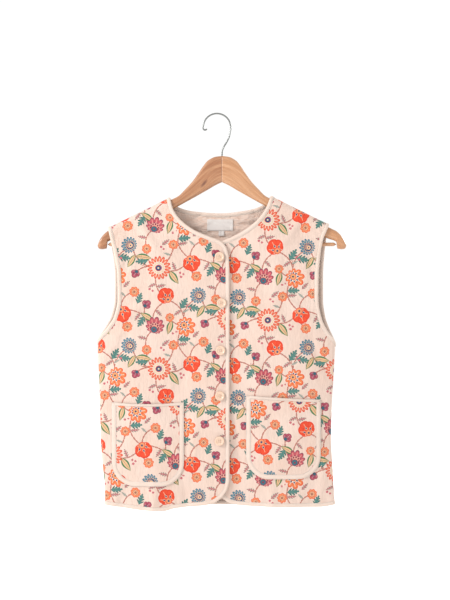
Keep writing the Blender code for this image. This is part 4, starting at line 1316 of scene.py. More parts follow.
def front_cloth(inner, outer, side_column, hem, face):
    """The grid of a front in x and z, its points and its normals, flat to the plane on its seams."""
    columns = refine(FRONT_COLUMNS, CLOTH_STEP)
    rows = refine(CLOTH_ROWS, ROW_STEP)
    start = end_on_shoulder(edge(inner, rows))
    end = end_on_shoulder(outer_edge(outer, side_column, rows))
    shoulder = start[-1] + columns[:, None] * (end[-1] - start[-1])
    across, up = np.meshgrid(columns, rows)
    flat = patch(across, up, edge(hem, columns)[None], shoulder[None], start[:, None], end[:, None])
    grid, normals = surface(flat[..., 0], flat[..., 1], face)
    on_side = rows <= UNDERARM_SHARE
    normals[on_side, -1] = flatten_normals(normals[on_side, -1])
    normals[-1] = flatten_normals(normals[-1])
    armhole = rows >= UNDERARM_SHARE
    bound = np.concatenate([flat[::-1, 0], flat[0, 1:], flat[armhole, -1]])
    return flat, grid + normals * pucker(flat, bound), normals, rows


def back_cloth():
    """The back's grid in x and z, its points and normals, its columns and rows."""
    columns = refine(BACK_COLUMNS, BACK_STEP)
    rows = refine(CLOTH_ROWS, ROW_STEP)
    start = end_on_shoulder(outer_edge(LEFT_OUTER_BACK, 1, rows))
    end = end_on_shoulder(outer_edge(RIGHT_OUTER_BACK, 2, rows))
    top = edge(BACK_NECK, columns)
    left = columns[:, None] / BACK_NECK_START
    right = (columns[:, None] - BACK_NECK_END) / (1.0 - BACK_NECK_END)
    neck_left = end_on_shoulder(np.array(BACK_NECK[:1], dtype=float)[:, 1:])[0]
    neck_right = end_on_shoulder(np.array(BACK_NECK[-1:], dtype=float)[:, 1:])[0]
    top = np.where(left < 1.0, start[-1] + left * (neck_left - start[-1]), top)
    top = np.where(right > 0.0, neck_right + right * (end[-1] - neck_right), top)
    across, up = np.meshgrid(columns, rows)
    flat = patch(across, up, edge(BACK_HEM, columns)[None], top[None], start[:, None], end[:, None])
    grid, normals = surface(flat[..., 0], flat[..., 1], "back")
    on_side = rows <= UNDERARM_SHARE
    on_shoulder = (columns <= BACK_NECK_START) | (columns >= BACK_NECK_END)
    for column in (0, -1):
        normals[on_side, column] = flatten_normals(normals[on_side, column])
    normals[-1, on_shoulder] = flatten_normals(normals[-1, on_shoulder])
    armhole = rows >= UNDERARM_SHARE
    bound = np.concatenate([flat[armhole, 0], flat[-1, ~on_shoulder], flat[armhole, -1][::-1],
                            flat[0, ::-1]])
    return flat, grid + normals * pucker(flat, bound), normals, columns, rows


def lining_depth(x, z):
    """How far the lining's open side sinks: the sum of its wrinkles, each a soft bell."""
    depth = np.zeros(x.shape)
    for middle_x, middle_z, turn, length, width, sunk in LINING_CREASES:
        depth += sunk * bell(x, z, middle_x, middle_z, turn, length, width)
    return np.minimum(depth, LINING_SINK)


def add_cloth(cotton, gauze, band):
    """The fronts, the back with its lining, and the strips that bind all their edges."""
    over, over_grid, over_normals, rows = front_cloth(OVER_INNER, LEFT_OUTER_FRONT, 1, OVER_HEM,
                                                      "over")
    under, under_grid, under_normals, _ = front_cloth(UNDER_INNER, RIGHT_OUTER_FRONT, 2,
                                                      UNDER_HEM, "under")
    back, back_grid, back_normals, columns, _ = back_cloth()
    half = WALL / 2
    add_shell("cloth_front_over", "printed_cotton", ["front_over"], over, over_grid, over_normals,
              -half, half, "over", (cotton, gauze))
    add_shell("cloth_front_under", "printed_cotton", ["front_under"], under, under_grid,
              under_normals, -half, half, "under", (cotton, gauze))
    add_shell("cloth_back", "printed_cotton", ["back"], back, back_grid, back_normals,
              half - BACK_CLOTH, half, "back", (cotton, gauze))
    lined = rows >= LINING_START
    sunk = lining_depth(back[lined][..., 0], back[lined][..., 1])[..., None]
    add_shell("gauze_back_lining", "cotton_gauze", ["back_lining"], back[lined],
              back_grid[lined], back_normals[lined],
              -half + sunk, -half + LINING, None, (gauze,))

    neck = (columns >= BACK_NECK_START) & (columns <= BACK_NECK_END)
    armhole = rows >= UNDERARM_SHARE
    down = np.array((0.0, -1.0))
    up = -down
    down_left = np.array((-SHOULDER_COS, -SHOULDER_SLOPE * SHOULDER_COS))
    down_right = down_left * (-1.0, 1.0)
    over_outline = np.concatenate([over[::-1, 0], over[0, 1:]])
    under_outline = np.concatenate([under[::-1, 0], under[0, 1:]])[::-1]
    add_binding("bound_edge", "edge_binding", [
        edge_run(over_outline, "over", -1.0, down_left, up),
        edge_run(back[0], "back", 1.0, up, up),
        edge_run(under_outline, "under", -1.0, up, down_right),
        edge_run(back[-1, neck][::-1], "back", 1.0, down_right, down_left),
    ], band)
    add_binding("bound_armhole_left", "armhole_binding_left", [
        edge_run(over[armhole, -1], "over", -1.0, down, -down_left),
        edge_run(back[armhole, 0][::-1], "back", 1.0, -down_left, down),
    ], band)
    add_binding("bound_armhole_right", "armhole_binding_right", [
        edge_run(back[armhole, -1], "back", 1.0, down, -down_right),
        edge_run(under[armhole, -1][::-1], "under", -1.0, -down_right, down),
    ], band)


def add_label(name, node, box, woven):
    """A flat woven piece on the lining, its two ends turned under and so a little thicker."""
    left, right, bottom, top = box
    x, z = np.meshgrid(np.linspace(left, right, LABEL_COLUMNS),
                       np.linspace(bottom, top, LABEL_ROWS))
    grid, normals = surface(x, z, "back")
    end = np.minimum(x - left, right - x)
    turned = (TURNED_RISE * smooth((TURNED_LENGTH - end) / TURNED_EASE)
              - SEAM_DIP * np.exp(-((end - SEAM_PLACE) / SEAM_HALF) ** 2))
    bend = LABEL_BEND * np.sin(z / LABEL_BEND_LENGTH)
    wave = LABEL_WAVE * np.sin(x / LABEL_WAVE_LENGTH + bend)
    inner = -(LABEL_LIFT + LABEL_CLOTH / 2 + turned + wave)[..., None]
    add_shell(name, "woven_label", [node], np.stack([x, z], axis=-1), grid, normals,
              inner, -(LABEL_LIFT - LABEL_CLOTH / 2), None, (woven,),
              LABEL_TURNING)


def tube(path, radii, depth, sides):
    """Rings of a round wire or thread along a path in x and z, at depths, with poles after.

    A ring lies across the path: the radius times the cosine of its turn along the path's
    normal in x and z, and times the sine along y.
    """
    ahead = np.gradient(path, axis=0)
    ahead /= np.linalg.norm(ahead, axis=-1, keepdims=True)
    turns = np.linspace(0.0, 2 * math.pi, sides, endpoint=False)
    wide = radii[:, None] * np.cos(turns)
    x = path[:, :1] - ahead[:, 1:] * wide
    z = path[:, 1:] + ahead[:, :1] * wide
    y = depth[:, None] + radii[:, None] * np.sin(turns)
    return np.stack([x, y, z], axis=-1)


def rounded_ends(length, radius, reach):
    """Radii along a run, full in the middle and rounded off over reach at both ends."""
    share = np.clip(np.minimum(length, length[-1] - length) / reach, 0.0, 1.0)
    return radius * np.sqrt(np.maximum(1.0 - (1.0 - share) ** 2, 0.0004))


def add_buttons(plastic, thread):
    """Round buttons with a dished face and four holes, sewn on with two bars of thread.

    A point at a radius and a turn takes its height from BUTTON_PROFILE, less a round
    sunk hole near each of the four places.
    """
    profile = np.array(BUTTON_PROFILE)
    along = distances(profile)
    table = np.column_stack([along, profile])
    at = np.linspace(BUTTON_POLE, along[-1] - BUTTON_POLE, BUTTON_RINGS)
    radius = read_table(table, 1, at)[:, None]
    height = read_table(table, 2, at)[:, None]
    turns = np.linspace(0.0, 2 * math.pi, BUTTON_SIDES, endpoint=False)
    x = radius * np.cos(turns)
    z = radius * np.sin(turns)
    to_hole = np.hypot(np.abs(x) - HOLE_PLACE, np.abs(z) - HOLE_PLACE)
    sunk = HOLE_DEPTH * smooth((HOLE_RADIUS - to_hole) / HOLE_EASE) * (height > 0.0)
    cap = np.stack([x, -(height - sunk), z], axis=-1)
    length = np.linspace(0.0, 2 * HOLE_PLACE, THREAD_STEPS)
    arch = -(THREAD_LOW + THREAD_RISE * np.sqrt(np.abs(np.sin(math.pi * length / length[-1]))))
    for number, (button_x, button_z) in enumerate(BUTTONS, start=1):
        runs = [cap]
        for row in (-HOLE_PLACE, HOLE_PLACE):
            path = np.stack([length - HOLE_PLACE, np.full(len(length), row)], axis=-1)
            runs.append(tube(path, np.full(len(length), THREAD_RADIUS), arch,
                             THREAD_SIDES))
        middle, normal = surface(button_x, button_z, "over")
        place = middle + normal * BUTTON_LIFT
        turn = math.radians(BUTTON_TURN * number)
        points = []
        faces = []
        counts = []
        start = 0
        for run in runs:
            parts = ring_faces(*run.shape[:2], False)
            body = with_poles(run)
            points.append(body)
            faces.extend([part + start for part in parts])
            counts.append(sum(len(part) for part in parts))
            start += len(body)
        points = np.concatenate(points)
        turned = np.stack([points[:, 0] * math.cos(turn) - points[:, 2] * math.sin(turn),
                           points[:, 1],
                           points[:, 0] * math.sin(turn) + points[:, 2] * math.cos(turn)], axis=-1)
        mesh = outwards(make_mesh("sewn_button_%d" % number, turned + place, *faces))
        made = make_piece(mesh, "button_plastic", ["button_%d" % number], plastic, thread)
        which = np.ones(len(made.data.polygons), dtype=np.int32)
        which[:counts[0]] = 0
        made.data.polygons.foreach_set("material_index", which)


def add_arm(side_name, side, wood):
    """An arm of the hanger: rings with half rounds above and below, rounded off at the tip.

    A ring's top and bottom come from ARM_TOP and ARM_BOTTOM at its distance from the middle.
    The attribute grain holds the distance along the arm, from its middle line and in depth.
    """
    round_tip = np.sin(np.linspace(TIP_START, TIP_END, ARM_TIP_STEPS))
    reach = np.concatenate([ARM_JOIN, np.linspace(ARM_JOIN_END, ARM_REACH - ARM_TIP, ARM_STEPS),
                            ARM_REACH - ARM_TIP * (1 - round_tip)])
    top = read_table(ARM_TOP, 1, reach)
    bottom = read_table(ARM_BOTTOM, 1, reach)
    tip = np.clip((reach - (ARM_REACH - ARM_TIP)) / ARM_TIP, 0.0, 1.0)
    half = ARM_THICKNESS / 2 * np.sqrt(1.0 - tip ** 2)
    half = half * (1.0 - ARM_EASING * np.clip(1.0 - reach / ARM_EASED, 0.0, 1.0))
    rise = np.minimum(half / SHOULDER_COS, (top - bottom) / 2)
    turns = np.linspace(0.0, math.pi, ARM_SIDES // 2)
    x = HANGER_X + side * reach
    wide = half[:, None] * np.cos(turns)
    tall = rise[:, None] * np.sin(turns)
    y = hanger_y(x)[:, None] + np.concatenate([wide, -wide], axis=1)
    z = np.concatenate([(top - rise)[:, None] + tall, (bottom + rise)[:, None] - tall], axis=1)
    rings = np.stack([np.broadcast_to(x[:, None], y.shape), y, z], axis=-1)
    mesh = outwards(make_mesh("wood_arm_" + side_name, with_poles(rings),
                              *ring_faces(*rings.shape[:2], False)))
    middle = (top + bottom)[:, None] / 2
    grain = with_poles(np.stack([np.broadcast_to(reach[:, None] / SHOULDER_COS, y.shape),
                                 z - middle, y - hanger_y(x)[:, None]], axis=-1))
    store(mesh, "grain", "FLOAT_VECTOR", "POINT", grain * MM)
    make_piece(mesh, "arm_wood_dark" if side < 0 else "arm_wood_light",
               ["hanger_arm_" + side_name], wood)


def add_bar(wood):
    """The round bar between the arm ends, a cylinder with rounded edges at its ends."""
    reach = np.linspace(-BAR_REACH, BAR_REACH, BAR_STEPS)
    path = np.stack([HANGER_X + reach, np.full(len(reach), BAR_Z)], axis=-1)
    radii = rounded_ends(reach + BAR_REACH, BAR_DIAMETER / 2, BAR_ROUNDING)
    depth = np.full(len(reach), float(hanger_y(HANGER_X + BAR_REACH)))
    rings = tube(path, radii, depth, BAR_SIDES)
    mesh = outwards(make_mesh("wood_bar", with_poles(rings), *ring_faces(*rings.shape[:2], False)))
    grain = with_poles(np.stack([rings[..., 0], rings[..., 2] - BAR_Z,
                                 rings[..., 1] - depth[:, None]], axis=-1))
    store(mesh, "grain", "FLOAT_VECTOR", "POINT", grain * MM)
    make_piece(mesh, "arm_wood_light", ["trouser_bar"], wood)


def add_hook(steel):
    """The wire hook: a lazy S out of the crown, an arc round the eye and a curled end."""
    stem = np.array(HOOK_STEM) + (HANGER_X, 0.0)
    low = -HOOK_RADIUS + WIRE / 2
    turn = np.radians(np.linspace(EYE_START, EYE_END, EYE_STEPS))
    eye = np.stack([HOOK_RADIUS * np.cos(turn), low + HOOK_RADIUS * np.sin(turn)], axis=-1)
    turn = np.radians(np.linspace(CURL_START, CURL_END, CURL_STEPS))
    curl = eye[-1] + CURL_RADIUS * np.stack([1.0 + np.cos(turn), np.sin(turn)], axis=-1)
    knots = np.concatenate([stem, eye, curl])
    along = distances(knots)
    table = np.column_stack([along, knots])
    round_end = np.sin(np.linspace(END_START, END_STOP, END_RINGS))
    at = np.concatenate([np.linspace(0.0, along[-1] - WIRE_END, WIRE_STEPS),
                         along[-1] - WIRE_END * (1 - round_end)])
    path = np.stack([read_table(table, 1, at), read_table(table, 2, at)], axis=-1)
    path[1:-1] = (path[:-2] + 2 * path[1:-1] + path[2:]) / 4
    end = np.clip((at - along[-1] + WIRE_END) / WIRE_END, 0.0, 1.0)
    radii = WIRE / 2 * np.sqrt(np.maximum(1.0 - end ** 2, 0.002))
    rings = tube(path, radii, np.zeros(len(at)), WIRE_SIDES)
    mesh = outwards(make_mesh("steel_hook", with_poles(rings),
                              *ring_faces(*rings.shape[:2], False)))
    make_piece(mesh, "hook_wire", ["hook"], steel)


def output_named(tree, text):
    """The output that a text names: a node, and after a dot the output's name or number."""
    source, _, socket = text.partition(".")
    return tree.nodes[source].outputs[int(socket) if socket.isdigit() else socket or 0]


def add(tree, name, kind, settings, inputs):
    """One node with its settings, and its inputs as values or as texts that name outputs."""
    node = tree.nodes.new("ShaderNode" + kind)
    node.name = name
    for key, value in settings.items():
        setattr(node, key, value)
    for key, value in inputs.items():
        if isinstance(value, str):
            tree.links.new(output_named(tree, value), node.inputs[key])
        else:
            node.inputs[key].default_value = value
    return node


def new_material(name, **constants):
    """A material with its Principled shader, whose constant values are set by socket name."""
    material = bpy.data.materials.new(name)
    material.use_nodes = True
    shader = material.node_tree.nodes["Principled BSDF"]
    shader.name = "shader"
    for key, value in constants.items():
        shader.inputs[key.replace("_", " ")].default_value = value
    return material, material.node_tree


def wire_up(tree, colour, height, distance, **more):
    """Links the shader's colour and a bump of the height, and any other named socket."""
    add(tree, "bump", "Bump", {}, {"Height": height, "Distance": distance, "Strength": 1.0})
    links = {"Base Color": colour, "Normal": "bump"}
    links.update({key.replace("_", " "): value for key, value in more.items()})
    shader = tree.nodes["shader"]
    for key, value in links.items():
        tree.links.new(output_named(tree, value), shader.inputs[key])


# Formulas of the print, a row for each step: name, operation, values. Distances in a flower
# are shares of its radius, and in a leaf of its length.
STEM_FORMULA = (
    ("twist", "MULTIPLY", "vine_xyz.Z", 0.42),
    ("twist_wave", "SINE", "twist"),
    ("strand", "MULTIPLY", "twist_wave", 0.75),
    ("first_away", "SUBTRACT", "vine_xyz.X", "strand"),
    ("second_away", "ADD", "vine_xyz.X", "strand"),
    ("first_reach", "ABSOLUTE", "first_away"),
    ("second_reach", "ABSOLUTE", "second_away"),
    ("strands", "MINIMUM", "first_reach", "second_reach"),
    ("on_strand", "LESS_THAN", "strands", 0.52),
    ("near_stem", "LESS_THAN", "vine_xyz.Y", 3.4),
    ("stem_mask", "MULTIPLY", "on_strand", "near_stem"),
    ("first_core", "LESS_THAN", "first_reach", 0.2),
    ("core_mask", "MULTIPLY", "first_core", "near_stem"),
)
LEAF_FORMULA = (
    ("leaf_floor", "MAXIMUM", "leaf_xyz.X", 0.0001),
    ("leaf_along", "MINIMUM", "leaf_floor", 1.0),
    ("leaf_bend", "POWER", "leaf_along", 0.85),
    ("leaf_arc", "MULTIPLY", "leaf_bend", math.pi),
    ("leaf_sine", "SINE", "leaf_arc"),
    ("leaf_beside", "ABSOLUTE", "leaf_xyz.Y"),
    ("leaf_slant", "MULTIPLY_ADD", "leaf_beside", -0.8, "leaf_xyz.X"),
    ("tooth_turn", "MULTIPLY", "leaf_slant", "leaf_form_xyz.Y"),
    ("tooth_arc", "MULTIPLY", "tooth_turn", math.pi),
    ("tooth_sine", "SINE", "tooth_arc"),
    ("tooth_size", "ABSOLUTE", "tooth_sine"),
    ("tooth_gap", "SUBTRACT", 1.0, "tooth_size"),
    ("tooth_cut", "MULTIPLY", "tooth_gap", "leaf_form_xyz.Z"),
    ("tooth", "SUBTRACT", 1.0, "tooth_cut"),
    ("leaf_half", "MULTIPLY", "leaf_sine", "leaf_form_xyz.X"),
    ("leaf_edge", "MULTIPLY", "leaf_half", "tooth"),
    ("leaf_mask", "LESS_THAN", "leaf_beside", "leaf_edge"),
    ("leaf_inset", "MULTIPLY", "leaf_edge", 0.54),
    ("leaf_inside", "LESS_THAN", "leaf_beside", "leaf_inset"),
    ("off_rib", "GREATER_THAN", "leaf_beside", 0.011),
    ("fill_mask", "MULTIPLY", "leaf_inside", "off_rib"),
)
FLOWER_FORMULA = (
    ("turn", "ARCTAN2", "flower_xyz.Y", "flower_xyz.X"),
    ("square_x", "MULTIPLY", "flower_xyz.X", "flower_xyz.X"),
    ("square", "MULTIPLY_ADD", "flower_xyz.Y", "flower_xyz.Y", "square_x"),
    ("reach", "SQRT", "square"),
    ("half_petals", "MULTIPLY", "flower_form_xyz.X", 0.5),
    ("swing", "MULTIPLY", "turn", "half_petals"),
    ("cosine", "COSINE", "swing"),
    ("lobe", "ABSOLUTE", "cosine"),
    ("sine", "SINE", "swing"),
    ("between", "ABSOLUTE", "sine"),
    ("lobe_round", "POWER", "lobe", 0.55),
    ("between_round", "POWER", "between", 0.55),
    ("lobe_gap", "SUBTRACT", 1.0, "lobe_round"),
    ("between_gap", "SUBTRACT", 1.0, "between_round"),
    ("lobe_cut", "MULTIPLY", "lobe_gap", "flower_form_xyz.Y"),
    ("between_cut", "MULTIPLY", "between_gap", "flower_form_xyz.Y"),
    ("heading", "DIVIDE", "flower_xyz.X", "reach"),
    ("turned_away", "SUBTRACT", 1.0, "heading"),
    ("leant", "MULTIPLY", "turned_away", "flower_form_xyz.Z"),
    ("leaning", "MULTIPLY_ADD", "leant", -0.5, 0.97),
    ("outer_shape", "SUBTRACT", 1.0, "lobe_cut"),
    ("inner_shape", "SUBTRACT", 1.0, "between_cut"),
    ("outer_edge", "MULTIPLY", "outer_shape", "leaning"),
    ("inner_full", "MULTIPLY", "inner_shape", "leaning"),
    ("inner_edge", "MULTIPLY", "inner_full", 0.58),
    ("outer_share", "DIVIDE", "reach", "outer_edge"),
    ("inner_share", "DIVIDE", "reach", "inner_edge"),
    ("middle_far", "MULTIPLY", "between", "reach"),
    ("beside_middle", "DIVIDE", "middle_far", "half_petals"),
    ("gap_far", "MULTIPLY", "lobe", "reach"),
    ("beside_gap", "DIVIDE", "gap_far", "half_petals"),
    ("flower_mask", "LESS_THAN", "outer_share", 1.0),
    ("petal_mask", "LESS_THAN", "outer_share", 0.9),
    ("narrow", "LESS_THAN", "beside_middle", 0.02),
    ("vein_end", "LESS_THAN", "outer_share", 0.8),
    ("vein_mask", "MULTIPLY", "narrow", "vein_end"),
    ("narrow_gap", "LESS_THAN", "beside_gap", 0.018),
    ("gap_mask", "MULTIPLY", "narrow_gap", "petal_mask"),
    ("inner_rim_mask", "LESS_THAN", "inner_share", 1.0),
    ("inner_mask", "LESS_THAN", "inner_share", 0.86),
    ("dot_circle", "MULTIPLY", "leaning", 0.42),
    ("dot_out", "SUBTRACT", "reach", "dot_circle"),
    ("dot_short", "MULTIPLY", "dot_out", 0.6),
    ("dot_square", "MULTIPLY", "dot_short", "dot_short"),
    ("dot_far", "MULTIPLY_ADD", "beside_middle", "beside_middle", "dot_square"),
    ("dot_halo_mask", "LESS_THAN", "dot_far", 0.0062),
    ("dot_mask", "LESS_THAN", "dot_far", 0.0026),
    ("heart_ring_mask", "LESS_THAN", "reach", 0.25),
    ("heart_mask", "LESS_THAN", "reach", 0.205),
    ("eye_mask", "LESS_THAN", "reach", 0.075),
)
# Layers of the print from the cloth up: mask, colour of the attribute that it shows
PRINT_LAYERS = (
    ("leaf_mask", "leaf_line"),
    ("fill_mask", "leaf_fill"),
    ("flower_mask", "flower_rim"),
    ("petal_mask", "flower_petal"),
    ("gap_mask", "flower_rim"),
    ("vein_mask", "flower_vein"),
    ("inner_rim_mask", "flower_rim"),
    ("inner_mask", "flower_inner"),
    ("dot_halo_mask", "flower_vein"),
    ("dot_mask", "flower_dots"),
    ("heart_ring_mask", "flower_rim"),
    ("heart_mask", "flower_heart"),
    ("eye_mask", "flower_dots"),
)
WORN_PRINT = 0.97


def add_steps(tree, steps):
    """Adds a formula's steps in their order."""
    for name, operation, *values in steps:
        add(tree, name, "Math", {"operation": operation}, dict(enumerate(values)))


def add_gauze(tree):
    """The height of gauze: soft crinkles of some 6 mm, upright slubs and a 0.9 mm weave.

    The weave is drawn three times as coarse as real gauze, so that a render can show it.
    """
    add(tree, "cloth", "UVMap", {"uv_map": "cloth"}, {})
    add(tree, "stretched", "Mapping", {}, {"Vector": "cloth", "Scale": (1.0, 0.4, 1.0)})
    add(tree, "crinkle", "TexNoise", {},
        {"Vector": "stretched", "Scale": 165.0, "Detail": 3.0, "Roughness": 0.5})
    add(tree, "upright", "Mapping", {}, {"Vector": "cloth", "Scale": (1.0, 0.06, 1.0)})
    add(tree, "slub", "TexNoise", {},
        {"Vector": "upright", "Scale": 900.0, "Detail": 2.0, "Roughness": 0.6})
    for name, direction in (("warp", "X"), ("weft", "Y")):
        add(tree, name, "TexWave", {"bands_direction": direction},
            {"Vector": "cloth", "Scale": 350.0, "Distortion": 1.5, "Detail": 1.0})
    add_steps(tree, (
        ("weave", "MULTIPLY", "warp.Fac", "weft.Fac"),
        ("weave_low", "MULTIPLY", "weave", 0.10),
        ("slub_low", "MULTIPLY_ADD", "slub", 0.22, "weave_low"),
        ("gauze", "MULTIPLY_ADD", "crinkle", 1.0, "slub_low"),
    ))


def printed_cotton():
    """Cotton gauze with a print of flowers, leaves and stems, in soft slightly faded colours."""
    material, tree = new_material("printed_cotton", Roughness=0.9, Sheen_Weight=0.12,
                                  Sheen_Roughness=0.5, Specular_IOR_Level=0.2)
    add_gauze(tree)
    for name in ("vine", "leaf", "leaf_form", "flower", "flower_form"):
        add(tree, name, "Attribute", {"attribute_name": name}, {})
        add(tree, name + "_xyz", "SeparateXYZ", {}, {0: name + ".Vector"})
    for name in ("leaf_line", "leaf_fill", "flower_rim", "flower_petal", "flower_vein",
                 "flower_inner", "flower_dots", "flower_heart"):
        add(tree, name, "Attribute", {"attribute_name": name}, {})
    add_steps(tree, STEM_FORMULA + LEAF_FORMULA + FLOWER_FORMULA)
    add(tree, "patches", "TexNoise", {}, {"Vector": "cloth", "Scale": 14.0, "Detail": 3.0})
    add(tree, "ground", "Mix", {"data_type": "RGBA"},
        {0: "patches.Fac", 6: tint("#FDE8DB"), 7: tint("#F6D2BE")})
    add(tree, "stemmed", "Mix", {"data_type": "RGBA"},
        {0: "stem_mask", 6: "ground.2", 7: tint("#B0564A")})
    add(tree, "cored", "Mix", {"data_type": "RGBA"},
        {0: "core_mask", 6: "stemmed.2", 7: tint("#D98973")})
    under = "cored.2"
    for number, (mask, colour) in enumerate(PRINT_LAYERS):
        name = "layer_%d" % number
        add(tree, name, "Mix", {"data_type": "RGBA"}, {0: mask, 6: under, 7: colour + ".Color"})
        under = name + ".2"
    add(tree, "faded", "Mix", {"data_type": "RGBA"}, {0: WORN_PRINT, 6: "ground.2", 7: under})
    add(tree, "threads", "MapRange", {}, {0: "slub.Fac", 1: 0.3, 2: 0.7, 3: 0.93, 4: 1.0})
    add(tree, "threaded", "Mix", {"data_type": "RGBA", "blend_type": "MULTIPLY"},
        {0: 1.0, 6: "faded.2", 7: "threads"})
    wire_up(tree, "threaded.2", "gauze", 0.0015)
    return material


def plain_gauze():
    """Undyed pinkish gauze of the lining, finely crinkled along and across, with painted shade that
    darkens the hollows of its crinkles.
    """
    material, tree = new_material("cotton_gauze", Roughness=0.93, Sheen_Weight=0.12,
                                  Specular_IOR_Level=0.2)
    add_gauze(tree)
    add(tree, "flattened", "Mapping", {}, {"Vector": "cloth", "Scale": (0.35, 1.0, 1.0)})
    add(tree, "creased", "TexNoise", {},
        {"Vector": "flattened", "Scale": 260.0, "Detail": 4.0, "Distortion": 0.8})
    add_steps(tree, (("crinkled", "MULTIPLY_ADD", "creased.Fac", 1.1, "gauze"),))
    # Painted shade: the crinkle noise that sets the height also makes the colour darker in its
    # hollows and paler on its crests
    add(tree, "colour", "Mix", {"data_type": "RGBA"},
        {0: "creased.Fac", 6: tint("#F8C9AE"), 7: tint("#FFF3EA")})
    wire_up(tree, "colour.2", "crinkled", 0.0018)
    return material


STITCH_ROW = 0.96
STITCH_PITCH = 2.7
STITCH_FORMULA = (
    ("along_mm", "MULTIPLY", "cloth_xyz.X", 1000.0),
    ("across_mm", "MULTIPLY", "cloth_xyz.Y", 1000.0),
    ("from_row", "SUBTRACT", "across_mm", STITCH_ROW),
    ("row_reach", "ABSOLUTE", "from_row"),
    ("in_row", "LESS_THAN", "row_reach", 0.34),
    ("pitches", "DIVIDE", "along_mm", STITCH_PITCH),
    ("place", "FRACT", "pitches"),
    ("from_middle", "SUBTRACT", "place", 0.5),
    ("middle_reach", "ABSOLUTE", "from_middle"),
    ("in_stitch", "LESS_THAN", "middle_reach", 0.39),
    ("stitch_mask", "MULTIPLY", "in_row", "in_stitch"),
    ("stitch_high", "MULTIPLY", "stitch_mask", 0.35),
)


def bias_strip():
    """Cream cotton cut on the bias, so its weave lies slantwise, with a row of stitches."""
    material, tree = new_material("bias_binding", Roughness=0.88, Sheen_Weight=0.12,
                                  Specular_IOR_Level=0.2)
    add(tree, "cloth", "UVMap", {"uv_map": "cloth"}, {})
    add(tree, "cloth_xyz", "SeparateXYZ", {}, {0: "cloth"})
    add_steps(tree, STITCH_FORMULA)
    add(tree, "slanted", "Mapping", {}, {"Vector": "cloth", "Rotation": (0.0, 0.0, math.pi / 4)})
    # The weave's 0.9 mm is three times a real one's, so that a render can show it
    add(tree, "weave", "TexWave", {}, {"Vector": "slanted", "Scale": 350.0, "Distortion": 1.0})
    add(tree, "crinkle", "TexNoise", {},
        {"Vector": "cloth", "Scale": 320.0, "Detail": 3.0, "Roughness": 0.55})
    add(tree, "patches", "TexNoise", {}, {"Vector": "cloth", "Scale": 30.0, "Detail": 2.0})
    add_steps(tree, (
        ("weave_low", "MULTIPLY_ADD", "weave.Fac", 0.12, "stitch_high"),
        ("height", "MULTIPLY_ADD", "crinkle.Fac", 0.7, "weave_low"),
    ))
    add(tree, "cream", "Mix", {"data_type": "RGBA"},
        {0: "patches.Fac", 6: tint("#FAE7DA"), 7: tint("#F3D8C6")})
    add(tree, "sewn", "Mix", {"data_type": "RGBA"},
        {0: "stitch_mask", 6: "cream.2", 7: tint("#FFF4EA")})
    wire_up(tree, "sewn.2", "height", 0.0009)
    return material


def woven_tape():
    """White damask tape of the bare label, ribbed at 0.8 mm."""
    material, tree = new_material("woven_label", Roughness=0.6, Sheen_Weight=0.2)
    add(tree, "cloth", "UVMap", {"uv_map": "cloth"}, {})
    add(tree, "ribs", "TexWave", {"bands_direction": "Y"}, {"Vector": "cloth", "Scale": 390.0})
    add(tree, "patches", "TexNoise", {}, {"Vector": "cloth", "Scale": 180.0, "Detail": 3.0})
    add(tree, "white", "Mix", {"data_type": "RGBA"},
        {0: "patches.Fac", 6: tint("#FBF4EF"), 7: tint("#F1E6E0")})
    wire_up(tree, "white.2", "ribs.Fac", 0.0001)
    return material


def button_plastic():
    """Cast peach resin with faint clouds and a soft polish."""
    material, tree = new_material("button_plastic", Roughness=0.3, Coat_Weight=0.25,
                                  Coat_Roughness=0.15)
    add(tree, "object", "TexCoord", {}, {})
    add(tree, "clouds", "TexNoise", {},
        {"Vector": "object.Object", "Scale": 120.0, "Detail": 4.0, "Distortion": 1.2})
    add(tree, "peach", "Mix", {"data_type": "RGBA"},
        {0: "clouds.Fac", 6: tint("#F3C3A0"), 7: tint("#FADFC9")})
    add(tree, "grains", "TexNoise", {}, {"Vector": "object.Object", "Scale": 900.0})
    wire_up(tree, "peach.2", "grains.Fac", 0.00004)
    return material


def sewing_thread():
    """Peach polyester thread, its twist 0.5 mm long."""
    material, tree = new_material("sewing_thread", Roughness=0.75, Sheen_Weight=0.2)
    add(tree, "object", "TexCoord", {}, {})
    add(tree, "twist", "TexWave", {"bands_direction": "DIAGONAL"},
        {"Vector": "object.Object", "Scale": 620.0})
    add(tree, "spun", "Mix", {"data_type": "RGBA"},
        {0: "twist.Fac", 6: tint("#EFC9AC"), 7: tint("#FAE3D0")})
    wire_up(tree, "spun.2", "twist.Fac", 0.0001)
    return material


# The knot in the left arm, in metres: how far out and below the arm's middle line it lies, how
# much longer than high it is, how far it pushes the streaks aside and how far that reaches
KNOT_REACH = 0.032
KNOT_HEIGHT = -0.0095
KNOT_SQUASH = 0.62
KNOT_PUSH = 0.011
KNOT_SPREAD = 0.0085
KNOT_FORMULA = (
    ("knot_x", "SUBTRACT", "grain_xyz.X", KNOT_REACH / SHOULDER_COS),
    ("knot_z", "SUBTRACT", "grain_xyz.Y", KNOT_HEIGHT),
    ("knot_flat", "MULTIPLY", "knot_x", KNOT_SQUASH),
    ("knot_square", "MULTIPLY", "knot_flat", "knot_flat"),
    ("knot_away", "MULTIPLY_ADD", "knot_z", "knot_z", "knot_square"),
    ("knot_far", "SQRT", "knot_away"),
    ("knot_fade", "DIVIDE", "knot_far", KNOT_SPREAD),
    ("knot_fall", "MULTIPLY", "knot_fade", -1.0),
    ("knot_pull", "EXPONENT", "knot_fall"),
    ("knot_push", "MULTIPLY", "knot_pull", KNOT_PUSH),
)


